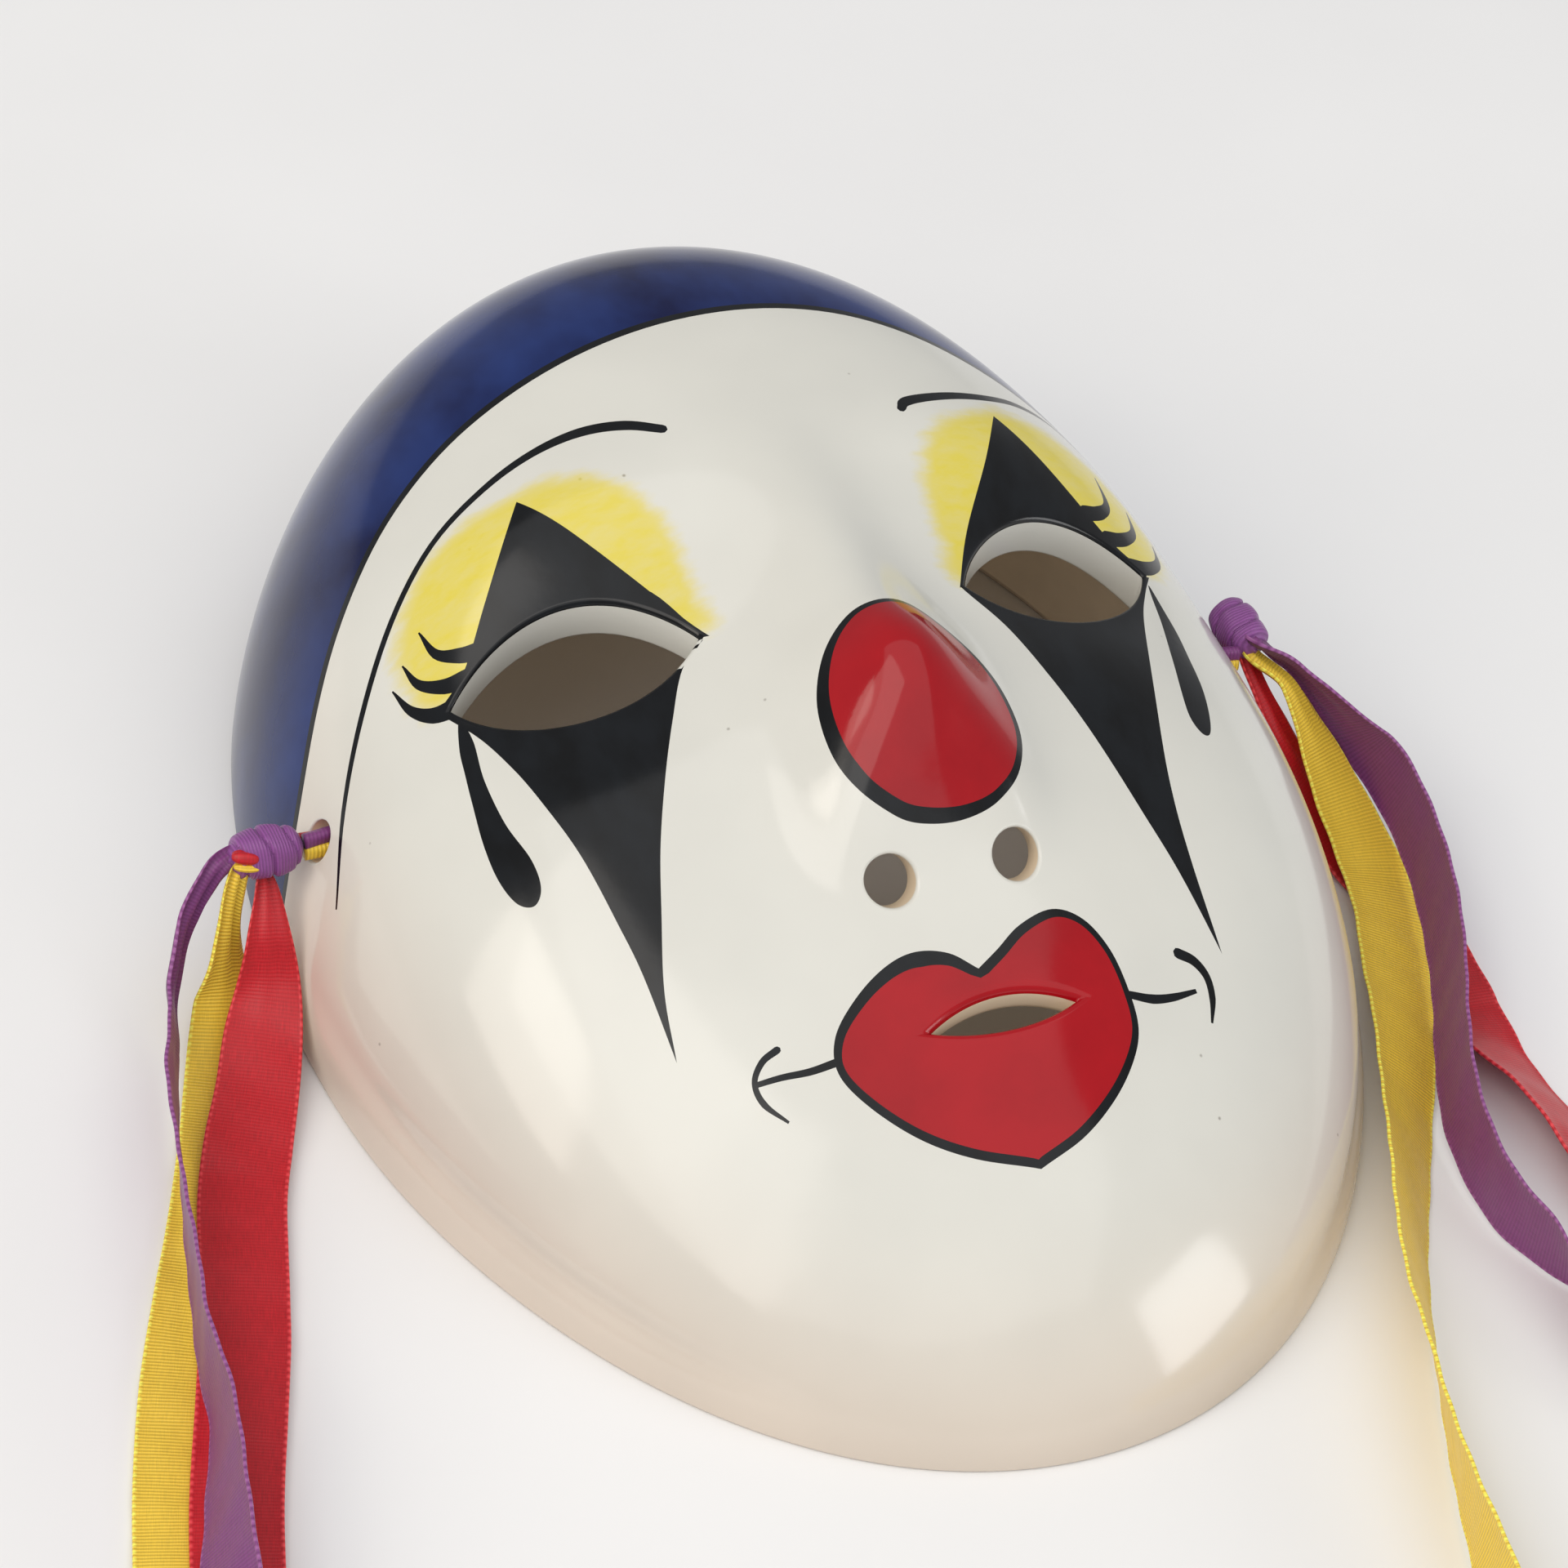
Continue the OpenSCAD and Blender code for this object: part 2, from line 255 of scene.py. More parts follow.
def inside_glaze(colours):
    """Earthenware with a thin wash of glaze inside: duller and browner than the front, with a
    faint painted glow, an emission that lightens the shade in the hollow."""
    # painted light: the emission is a faint glow that lightens the shaded hollow and what is seen of it
    # through the openings
    material, tree, shader = new_material(
        "earthenware, thinly glazed, with painted glow", Roughness=0.38, IOR=1.5,
        Emission_Color=colours.inside, Emission_Strength=0.05)
    place = add_node(tree, "ShaderNodeTexCoord").outputs["Object"]
    cloud = add_node(tree, "ShaderNodeTexNoise", {"Vector": place, "Scale": 70.0, "Detail": 4.0})
    shade = add_node(tree, "ShaderNodeMapRange", {
        "Value": cloud.outputs["Fac"], "From Min": 0.3, "From Max": 0.7, "To Min": 0.86, "To Max": 1.06})
    tinted = add_node(tree, "ShaderNodeVectorMath", {
        0: tuple(colours.inside)[:3], "Scale": shade.outputs["Result"]}, operation="SCALE")
    tree.links.new(tinted.outputs["Vector"], shader.inputs["Base Color"])
    glaze_surface(tree, shader, place)
    return material


def underglaze(name, thin, deep, scale, stretch, roughness, gloss=0.5):
    """Underglaze paint, brushed on and covered by clear glaze: it is deeper where it pools."""
    material, tree, shader = new_material(name, Roughness=roughness, IOR=1.5, Specular_IOR_Level=gloss)
    place = add_node(tree, "ShaderNodeTexCoord").outputs["Object"]
    drawn = add_node(tree, "ShaderNodeMapping", {"Vector": place, "Scale": stretch})
    pools = add_node(tree, "ShaderNodeTexNoise", {
        "Vector": drawn.outputs["Vector"], "Scale": scale, "Detail": 4.0, "Roughness": 0.55})
    depth = add_node(tree, "ShaderNodeMapRange", {
        "Value": pools.outputs["Fac"], "From Min": 0.38, "From Max": 0.64})
    colour = add_node(tree, "ShaderNodeMix", {
        "Factor": depth.outputs["Result"], "A": thin, "B": deep}, data_type="RGBA")
    tree.links.new(colour.outputs[MIXED], shader.inputs["Base Color"])
    glaze_surface(tree, shader, place)
    return material


def satin(name, colour, rib_height):
    """Woven polyester satin: a soft sheen along the floats, cross ribs and a brighter selvedge.

    The purple's ribs are about 0.3 mm apart, too fine to show in a render, so the ribs of all
    the ribbons are drawn at the coarser spacing in MaskSizes."""
    sizes = bpy.context.scene.mask_sizes
    material, tree, shader = new_material(
        name, Roughness=0.4, IOR=1.46, Specular_IOR_Level=0.45, Sheen_Weight=0.08, Sheen_Roughness=0.35)
    along = add_node(tree, "ShaderNodeAttribute", attribute_name="along").outputs["Fac"]
    across = add_node(tree, "ShaderNodeAttribute", attribute_name="across").outputs["Fac"]
    cloth = add_node(tree, "ShaderNodeCombineXYZ", {"X": across, "Y": along})
    # a wave's period is 0.314 of a unit at scale 1, and along and across are in millimetres
    ribs = add_node(tree, "ShaderNodeTexWave", {
        "Vector": cloth.outputs["Vector"], "Scale": 0.314 / (sizes.rib / MM),
        "Distortion": 0.4, "Detail": 1.0}, bands_direction="Y")
    threads = add_node(tree, "ShaderNodeMapping", {
        "Vector": cloth.outputs["Vector"], "Scale": (9.0, 0.5, 1.0)})
    floats = add_node(tree, "ShaderNodeTexNoise", {
        "Vector": threads.outputs["Vector"], "Scale": 1.0, "Detail": 2.0})
    shade = add_node(tree, "ShaderNodeMath", {
        0: ribs.outputs["Fac"], 1: rib_height, 2: floats.outputs["Fac"]}, operation="MULTIPLY_ADD")
    light = add_node(tree, "ShaderNodeMapRange", {
        "Value": shade.outputs["Value"], "From Min": 0.3, "From Max": 0.7 + rib_height,
        "To Min": 0.74, "To Max": 1.18})
    tinted = add_node(tree, "ShaderNodeVectorMath", {
        0: tuple(colour)[:3], "Scale": light.outputs["Result"]}, operation="SCALE")
    # the selvedge is a bead of tighter thread 0.4 mm wide
    border = add_node(tree, "ShaderNodeAttribute", attribute_name="border").outputs["Fac"]
    stitch = add_node(tree, "ShaderNodeTexWave", {
        "Vector": cloth.outputs["Vector"], "Scale": 0.33, "Distortion": 0.6}, bands_direction="Y")
    bead = add_node(tree, "ShaderNodeMath", {0: border, 1: stitch.outputs["Fac"]}, operation="MULTIPLY")
    beaded = add_node(tree, "ShaderNodeMix", {
        "Factor": bead.outputs["Value"], "A": tinted.outputs["Vector"],
        "B": [min(1.0, c * 1.5 + 0.05) for c in tuple(colour)[:3]] + [1.0]}, data_type="RGBA")
    tree.links.new(beaded.outputs[MIXED], shader.inputs["Base Color"])
    weave = add_node(tree, "ShaderNodeBump", {
        "Height": ribs.outputs["Fac"], "Strength": rib_height, "Distance": 0.08 * MM})
    nap = add_node(tree, "ShaderNodeBump", {
        "Height": floats.outputs["Fac"], "Normal": weave.outputs["Normal"],
        "Strength": 0.35, "Distance": 0.06 * MM})
    tree.links.new(nap.outputs["Normal"], shader.inputs["Normal"])
    return material


def ribbon_materials():
    """The satins by use, made once. Each has its name, its colour and the height of its ribs."""
    colours = bpy.context.scene.mask_colours
    satins = {
        # the knot satin is the purple satin painted lighter, a painted highlight
        "knot": ("purple satin, painted lighter as lit", colours.knot, 0.9),
        "purple": ("purple woven satin", colours.purple, 0.35),
        "yellow": ("yellow ribbed satin", colours.yellow, 0.8),
        "red": ("red woven satin", colours.red, 0.2),
    }
    return {use: bpy.data.materials.get(one[0]) or satin(*one) for use, one in satins.items()}


# ---------------------------------------------------------------- shape of the shell


def rim_radius(angle):
    """Radius of the outer rim at an angle from the crown."""
    return (
        RIM_MEAN + RIM_EGG * np.cos(angle) + RIM_OVAL * np.cos(2 * angle)
        + RIM_JAW * np.cos(3 * angle) + RIM_SQUARE * np.cos(4 * angle)
    )


def relief_at(x, y):
    """Height of the face's relief over x, y. Bumps off the middle line are mirrored."""
    total = 0 * x
    for cx, cy, reach_x, reach_y, height in RELIEF:
        for side in (1, -1) if cx else (1,):
            off_x = (side * x - cx) / reach_x
            off_y = (y - cy) / reach_y
            total = total + height * np.exp(-(off_x**2) - off_y**2)
    return total


def around(count):
    """Evenly spaced angles once round."""
    return np.linspace(0, 2 * np.pi, count, endpoint=False)


def compass(angles):
    """Unit x, y for angles measured clockwise from the crown."""
    return np.stack([np.sin(angles), np.cos(angles)], -1)


def shell_point(angle, t, inset=0.0):
    """Points of a skin at angle and at t from the crest (0) to the rim (1)."""
    spread = np.sin(np.pi / 2 * t) ** SIDE_BULGE
    radius = (rim_radius(angle) - inset) * spread
    x = radius * np.sin(angle)
    y = radius * np.cos(angle) + POLE_Y + CREST_SHIFT * (1 - spread)
    rise = (DOME_HEIGHT - inset) * np.maximum(0, np.cos(np.pi / 2 * t)) ** FRONT_ROUND
    fade = np.where(t < RELIEF_END, 1, np.cos(np.pi / 2 * (t - RELIEF_END) / (1 - RELIEF_END)) ** 2)
    return np.stack([x, y, rise * (1 + LEAN * (y - POLE_Y)) + fade * relief_at(x, y)], -1)


def locate(x, y, inset=0.0):
    """Angle and t of the point of a skin that lies over x, y. t is above 1 outside the rim."""
    low = np.zeros_like(x)
    high = np.full_like(x, 1.2)
    for _ in range(40):
        spread = (low + high) / 2
        across_y = y - POLE_Y - CREST_SHIFT * (1 - spread)
        outside = np.hypot(x, across_y) > (rim_radius(np.arctan2(x, across_y)) - inset) * spread
        low = np.where(outside, spread, low)
        high = np.where(outside, high, spread)
    angle = np.arctan2(x, y - POLE_Y - CREST_SHIFT * (1 - spread))
    t = np.where(spread < 1, np.arcsin(np.minimum(1, spread) ** (1 / SIDE_BULGE)) * 2 / np.pi, spread)
    return angle, t


def height_at(x, y, inset=0.0):
    """Height of a skin over x, y, and far below the mask outside its rim."""
    angle, t = locate(x, y, inset)
    return np.where(t < 1, shell_point(angle, np.minimum(t, 1), inset)[..., 2], -50)


def unroll(x, y, inset=0.0):
    """Lays a skin's points out on a flat disc, evenly from crest to rim."""
    angle, t = locate(x, y, inset)
    return (UNROLLED * t**SIDE_BULGE)[:, None] * compass(angle)


def roll_up(flat, inset=0.0):
    """Puts points of the flat disc back on the skin, with the soft groove inside the lower border."""
    w = np.hypot(flat[:, 0], flat[:, 1]) / UNROLLED
    t = w ** (1 / SIDE_BULGE)
    angle = np.arctan2(flat[:, 0], flat[:, 1])
    points = shell_point(angle, t, inset)
    if inset == 0:
        lower = np.clip(0.3 - 1.5 * np.cos(angle), 0, 1) * np.clip(3 * abs(np.sin(angle)) - 1.2, 0, 1)
        dip = GROOVE_DEPTH * lower * np.exp(-(((t - GROOVE_T) / GROOVE_REACH) ** 2))
        points[:, :2] -= dip[:, None] * compass(angle)
    return points, t


def skin_normals(flat, inset=0.0):
    """Outward direction of a skin at points of the flat disc."""
    reach = 0.05
    across = roll_up(flat + [reach, 0], inset)[0] - roll_up(flat - [reach, 0], inset)[0]
    along = roll_up(flat + [0, reach], inset)[0] - roll_up(flat - [0, reach], inset)[0]
    normal = np.cross(across, along)
    return normal / np.linalg.norm(normal, axis=1)[:, None]


def smooth(points, steps=8, closed=False):
    """A smooth curve through points, each with any number of values."""
    p = np.array(points, float)
    if closed:
        p = np.vstack([p[-1:], p, p[:2]])
    else:
        p = np.vstack([2 * p[0] - p[1], p, 2 * p[-1] - p[-2]])
    parts = []
    for a, b, c, d in zip(p[:-3], p[1:-2], p[2:-1], p[3:]):
        t = np.linspace(0, 1, steps, endpoint=False)[:, None]
        bend = (2 * a - 5 * b + 4 * c - d) * t**2 + (3 * b - a - 3 * c + d) * t**3
        parts.append(0.5 * (2 * b + (c - a) * t + bend))
    if not closed:
        parts.append(p[-2:-1])
    return np.vstack(parts)


# ---------------------------------------------------------------- openings in the shell


def almond(length, height, grow):
    """Outline of an almond between two arcs, grown by a margin."""
    radius = (length**2 + height**2) / (4 * height)
    drop = radius - height / 2
    tip = math.acos(drop / (radius + grow))
    sweep = np.linspace(-tip, tip, 57)[:-1]
    arc = np.stack([(radius + grow) * np.sin(sweep), (radius + grow) * np.cos(sweep) - drop], -1)
    return np.vstack([arc, -arc])


def ring(diameter, grow):
    """Outline of a round hole, grown by a margin."""
    return (diameter / 2 + grow) * compass(around(48))


def openings():
    """Each opening: its centre, its axis, the two directions across it, its outline, how far the
    glaze narrows it, and the radius that the glaze leaves on its edge."""
    up = np.array([0.0, 0.0, 1.0])
    found = []
    for side in (-1, 1):
        tilt = math.radians(10) * side
        eye_x = np.array([math.cos(tilt), math.sin(tilt), 0])
        found.append((np.array([side * 28.8, 4.6, 40.0]), up, eye_x, np.cross(up, eye_x),
                      lambda grow: almond(27.0, 13.8, grow), 0.3, 0.5))
        lean = math.radians(52)
        out = np.array([0, -math.sin(lean), math.cos(lean)])
        found.append((np.array([side * 7.3, -31.0, 37.0]), out, np.array([1.0, 0, 0]),
                      np.cross(out, [1.0, 0, 0]), lambda grow: ring(6.4, grow), 0.4, 0.4))
        found.append((np.array([side * 52.0, HOLE[1], HOLE[2]]), np.array([side, 0.0, 0.0]),
                      np.array([0, side, 0.0]), up, lambda grow: ring(5.0, grow), 0.3, 0.3))
    found.append((np.array([0, -46.8, 30.0]), up, np.array([1.0, 0, 0]), np.array([0, 1.0, 0]),
                  lambda grow: almond(20.6, 5.4, grow), 0.8, 1.0))
    return found


EYES = (0, 3)  # where the eyes stand in the list of openings, whose walls are glazed white


def meet_skin(opening, grow, inset):
    """Where the grown outline of an opening, carried along its axis, meets a skin."""
    centre, axis, across, along, outline, narrowing, _ = opening
    flat = outline(grow - narrowing)
    start = centre + flat[:, :1] * across + flat[:, 1:] * along
    lowest, highest, halvings = -16.0, 20.0, 36
    low = np.full(len(start), lowest)
    high = np.full(len(start), highest)
    for _ in range(halvings):
        middle = (low + high) / 2
        p = start + middle[:, None] * axis
        above = p[:, 2] > height_at(p[:, 0], p[:, 1], inset)
        high = np.where(above, middle, high)
        low = np.where(above, low, middle)
    return start + middle[:, None] * axis


# ---------------------------------------------------------------- the painted face

# Outlines are x, y over the back rim. Names say left and right as the viewer sees them.
UPPER_LID = [[(14.9, 1.8), (19, 9.2), (24.6, 17.2), (28.8, 24)],
             [(28.8, 24), (31.6, 20.2), (35.6, 14.8), (39.4, 9.8), (42.9, 7.4)]]
LEFT_SPIKE = [[(-42.9, 7.2), (-40.3, 1.7), (-38.8, -4), (-37.6, -11), (-36.4, -17.5), (-35.3, -25),
               (-34.4, -31), (-33.7, -40)],
              [(-33.7, -40), (-32.9, -33.5), (-30.9, -26.6), (-28.7, -20), (-25.6, -13), (-22.2, -6.4),
               (-18.8, -0.6), (-15.2, 2)]]
RIGHT_SPIKE = [[(15, 2), (18.2, -3.3), (20.3, -11), (22.2, -18), (24.6, -27), (26.7, -34),
                (28.7, -42.5)],
               [(28.7, -42.5), (28.8, -33), (29.4, -26), (30.9, -19.2), (33.8, -10.5), (37.8, -1),
                (40.4, 3.6), (42.9, 7.2)]]
LEFT_TEAR = [(-41.4, 5.2), (-42.5, 2), (-43, -1), (-43.6, -5), (-44.2, -10), (-44.2, -14.5), (-43.4, -18),
             (-42, -19.4), (-40.9, -18.2), (-40.8, -15), (-41.7, -9.6), (-41.7, -3.4), (-41, 2)]
RIGHT_TEAR = [(41.8, 5.4), (40.4, -0.6), (38.4, -7), (36.8, -12.5), (36.2, -16), (36.9, -17.9),
              (38.1, -17.8), (39.3, -15.4), (40.5, -11.2), (41.2, -6.6), (42, -1)]
NOSE = [(0, -6.2), (-3.8, -6.6), (-7.2, -9.2), (-9.6, -14), (-10, -20), (-8.6, -24.4), (-5.4, -27.2),
        (-1.6, -28.3), (2.5, -28.4), (6.6, -27.4), (9.9, -24.8), (12.3, -19.5), (12, -13.5),
        (9.4, -9), (5, -6.6)]
HEART = [[(-1.2, -42), (-3.6, -39.6), (-7, -38.5), (-10.5, -39), (-14.5, -41), (-18, -44), (-18.9, -47.5),
          (-16.8, -51.6), (-12.8, -55.8), (-7.7, -59), (-1.2, -61.5)],
         [(-1.2, -61.5), (4.4, -59.6), (9.1, -56.8), (12.6, -53.6), (14.6, -50.4), (15, -46.5),
          (14.6, -41.9), (12.8, -38.4), (9.6, -37), (5.2, -38.2), (1.6, -40.4), (-1.2, -42)]]
LEFT_WASH = [(-14.6, 2), (-13.9, 7.3), (-14.2, 12.7), (-15.6, 17.5), (-18.6, 22), (-23.6, 24.8),
             (-29, 25.6), (-35.9, 25.4), (-41, 22.8), (-44.5, 17.5), (-45.2, 12), (-43.2, 7), (-30, 6)]
RIGHT_WASH = [(14.8, 2), (14.6, 7.8), (14.8, 12.5), (16.4, 18), (20.6, 22.4), (26.6, 25), (33, 25.6),
              (39.6, 24), (45, 20.4), (47.6, 16), (47, 11), (43.4, 7), (30, 6)]
CAP_LINE = [(-61.5, 0.5), (-59.2, 6.4), (-55.9, 12.4), (-51.3, 20.6), (-46.8, 26.8), (-40.8, 32.6),
            (-33.8, 36.7), (-26, 39.4), (-15.6, 41.7), (-5, 43), (6, 43.1), (16, 41.8), (24.4, 39.2),
            (31.5, 35.8), (38.4, 31.8), (44.6, 27), (50.4, 20.2), (55.4, 12.4), (58.9, 6.4), (61.5, 0.5)]

# Brush strokes: points from first touch to lift, and the stroke's width at each
STROKES = [
    ([(-11.2, 26.6), (-14.8, 28.6), (-19.5, 29.7), (-25, 29.5), (-31, 28.1), (-37.6, 25.4),
      (-43.6, 20.4), (-49, 13.5), (-53.2, 6.2), (-56.4, -1.8)],
     (1.3, 1.5, 1.4, 1.1, 0.9, 0.8, 0.8, 0.8, 0.7, 0.3)),
    ([(16.7, 24), (18, 25.2), (23, 26.3), (29, 27.4), (35, 28.7), (40.5, 28.4), (45.6, 24), (50, 16.8),
      (53.6, 8), (56.5, -1.8)], (1.0, 1.4, 1.3, 1.1, 1.0, 0.9, 0.8, 0.8, 0.7, 0.3)),
    ([(-37.2, 11), (-39.2, 11.7), (-41.2, 13.4), (-41.9, 16.8)], (2.1, 1.8, 1.1, 0.2)),
    ([(-39, 9), (-41.5, 9.6), (-43.6, 11.6), (-44.3, 14.8)], (2.2, 1.8, 1.1, 0.2)),
    ([(-41, 6.7), (-43.4, 7.4), (-45.1, 9.6), (-45.9, 13.1)], (2.4, 1.9, 1.1, 0.2)),
    ([(36.6, 13.2), (39, 14), (41, 16), (41.6, 20.4)], (2.1, 1.8, 1.1, 0.2)),
    ([(38.6, 10.6), (41.2, 11.4), (43.8, 13.6), (45, 17.6)], (2.2, 1.8, 1.1, 0.2)),
    ([(40.6, 7.6), (43.4, 8.4), (46, 10.6), (47.4, 14.4)], (2.4, 1.9, 1.1, 0.2)),
    ([(-18.6, -46.4), (-21.5, -46.2), (-24.4, -45.6), (-27.2, -45.2)], (0.9, 0.8, 0.7, 0.6)),
    ([(-24, -43), (-25.8, -43.5), (-27.1, -45), (-26.8, -47.2), (-25, -49.7)], (0.8, 0.7, 0.6, 0.7, 0.3)),
    ([(14.8, -46.9), (17.6, -47.4), (20.4, -47.2), (23.6, -46.5)], (0.9, 1.1, 0.9, 0.5)),
    ([(22.9, -42.6), (24.6, -43.4), (25.6, -45), (25.4, -47.2), (24.3, -49.7)], (1.3, 1.2, 1.0, 0.9, 0.3)),
    ([(-15.6, 2.3), (-19, 8.8), (-24, 12), (-30, 11.8), (-36, 9.6), (-41.6, 6.4)],
     (0.4, 0.6, 0.5, 0.4, 0.5, 0.5)),
]


def outline_of(parts):
    """A closed outline from smooth stretches that meet in sharp corners."""
    return np.vstack([smooth(part)[:-1] for part in parts])


def turns_left(outline):
    """Whether a closed outline runs anticlockwise."""
    ahead = np.roll(outline, -1, 0)
    return np.sum(outline[:, 0] * ahead[:, 1] - outline[:, 1] * ahead[:, 0]) > 0


def shrink(outline, margins):
    """Moves an outline inwards by a margin that runs smoothly round it."""
    ahead = np.roll(outline, -1, 0) - np.roll(outline, 1, 0)
    ahead /= np.linalg.norm(ahead, axis=1)[:, None]
    normal = np.stack([-ahead[:, 1], ahead[:, 0]], -1)
    if not turns_left(outline):
        normal = -normal
    place = np.linspace(0, 1, len(outline), endpoint=False)
    margin = np.interp(place, np.linspace(0, 1, len(margins) + 1), list(margins) + [margins[0]])
    return outline + normal * margin[:, None]


def brush_stroke(points, widths):
    """Outline of a brush stroke laid on the outer skin, with a round first touch."""
    line = smooth(points, 6)
    width = np.interp(np.linspace(0, 1, len(line)), np.linspace(0, 1, len(widths)), widths)
    steepest = 4
    slopes = []
    for step in np.array([[0.2, 0], [0, 0.2]]):
        ahead, behind = line + step, line - step
        rise = height_at(ahead[:, 0], ahead[:, 1]) - height_at(behind[:, 0], behind[:, 1])
        slopes.append(np.clip(rise / (2 * step.sum()), -steepest, steepest))
    way = np.gradient(np.column_stack([line, height_at(line[:, 0], line[:, 1])]), axis=0)
    across = np.cross(np.column_stack([-slopes[0], -slopes[1], np.ones(len(line))]), way)
    across /= np.linalg.norm(across, axis=1)[:, None]
    side = across[:, :2] * width[:, None] / 2
    back = way[0, :2] / np.linalg.norm(way[0])
    reach = back * width[0] / 2
    touch = [line[0] - reach * math.cos(a) + side[0] * math.sin(a) for a in (-0.9, 0, 0.9)]
    return np.vstack([np.array(touch), line + side, (line - side)[::-1]])


def painted_regions():
    """Every painted area as (colour, outline), in the order that they were painted."""
    mirror = np.array([-1.0, 1.0])
    upper = outline_of(UPPER_LID)
    nose = smooth(NOSE, closed=True)
    heart = outline_of(HEART)
    cap = smooth(CAP_LINE)
    regions = [("cap", cap)]
    blacks = [upper, upper * mirror, outline_of(LEFT_SPIKE), outline_of(RIGHT_SPIKE),
              smooth(LEFT_TEAR, closed=True), smooth(RIGHT_TEAR, closed=True), nose, heart]
    blacks += [brush_stroke(points, widths) for points, widths in STROKES]
    inner = [p for p in CAP_LINE if abs(p[0]) < 60]
    blacks.append(brush_stroke(inner, [1.0] * len(inner)))
    regions += [("black", outline) for outline in blacks]
    regions.append(("nose", shrink(nose, (0.8, 0.9, 1.2, 1.4, 1.3, 1.1, 0.8, 0.7, 0.7, 0.7))))
    regions.append(("lips", shrink(heart, (1.1, 1.7, 1.2, 0.8, 0.8, 0.9, 0.9, 0.8, 0.7, 0.8, 1.0))))
    return regions


def inside_distance(points, outline):
    """How far points lie inside an outline, negative outside it."""
    best = np.full(len(points), 1e9)
    inside = np.zeros(len(points), bool)
    for a, b in zip(outline, np.roll(outline, -1, 0)):
        edge = b - a
        share = np.clip(((points - a) @ edge) / (edge @ edge), 0, 1)
        best = np.minimum(best, np.linalg.norm(points - a - share[:, None] * edge, axis=1))
        crosses = (a[1] > points[:, 1]) != (b[1] > points[:, 1])
        at_x = a[0] + (points[:, 1] - a[1]) * edge[0] / (edge[1] if edge[1] else 1e-9)
        inside ^= crosses & (points[:, 0] < at_x)
    return np.where(inside, best, -best)


# ---------------------------------------------------------------- skins


def grid_points(spacing, keep_off):
    """An even grid of points on the flat disc, clear of the points in keep_off."""
    rows = np.arange(-UNROLLED, UNROLLED, spacing * 0.866)
    columns = np.arange(-UNROLLED, UNROLLED, spacing)
    x, y = np.meshgrid(columns, rows)
    x = x + (np.arange(len(rows)) % 2)[:, None] * spacing / 2
    points = np.stack([x.ravel(), y.ravel()], -1)
    points = points[np.hypot(points[:, 0], points[:, 1]) < UNROLLED * RIM_T**SIDE_BULGE - spacing * 0.5]
    cell = spacing * 0.5
    taken = set()
    for cx, cy in np.round(keep_off / cell).astype(int):
        taken.update((cx + i, cy + j) for i in (-1, 0, 1) for j in (-1, 0, 1))
    free = [i for i, (cx, cy) in enumerate(np.round(points / cell).astype(int)) if (cx, cy) not in taken]
    return points[free]


def make_skin(spacing, inset, loops, areas):
    """Triangulates a skin with holes at the loops and edges along the painted areas.

    Returns its points, their normals, t of each point, its triangles, the areas that each
    triangle lies in, and where each point of the rim and the loops ended up."""
    rim = UNROLLED * RIM_T**SIDE_BULGE * compass(around(RIM_STEPS))
    flat_loops = [unroll(loop[:, 0], loop[:, 1], inset) for loop in loops]
    polygons = [rim] + flat_loops + areas
    fixed = np.vstack(polygons)
    grid = grid_points(spacing, fixed)
    starts = np.cumsum([0] + [len(p) for p in polygons])
    faces = [list(range(a, b)) for a, b in zip(starts, starts[1:])]
    faces = [face if turns_left(fixed[face]) else face[::-1] for face in faces]
    flat = np.vstack([fixed, grid])
    found, _, triangles, origins, _, within = delaunay_2d_cdt(
        [Vector(p) for p in flat], [], faces, 0, 1e-5, True)
    new_index = {}
    for i, sources in enumerate(origins):
        for source in sources:
            new_index[source] = i
    holes = set(range(1, 1 + len(loops)))
    kept = [(t, set(w)) for t, w in zip(triangles, within) if 0 in w and not holes & set(w)]
    found = np.array([tuple(p) for p in found])
    points, t = roll_up(found, inset)
    normals = skin_normals(found, inset)
    for number, loop in enumerate(loops):
        for i, p in enumerate(loop):
            points[new_index[starts[1 + number] + i]] = p
    border = [[new_index[i] for i in range(a, b)] for a, b in zip(starts, starts[1:])][: 1 + len(loops)]
    used = sorted({i for tri, _ in kept for i in tri})
    place = {old: new for new, old in enumerate(used)}
    border = [[place[i] for i in part] for part in border]
    tris = [tuple(place[i] for i in tri) for tri, _ in kept]
    areas_of = [{i - 1 - len(loops) for i in w if i > len(loops)} for _, w in kept]
    return points[used], normals[used], t[used], tris, areas_of, border


def bridge(a, b):
    """Quads between two closed rows of points."""
    count = len(a)
    return [(a[i], a[(i + 1) % count], b[(i + 1) % count], b[i]) for i in range(count)]


def rim_row(inset, turn, inner):
    """A closed row of points round the rim, turned from the wall (0) to the foot (90 degrees)."""
    sweep = around(RIM_STEPS)
    sign = -1 if inner else 1
    row = shell_point(sweep, np.full(RIM_STEPS, RIM_T), inset)
    row[:, :2] -= sign * compass(sweep) * GLAZE_ROUND * (1 - math.cos(turn))
    row[:, 2] *= 1 - math.sin(turn)
    return row


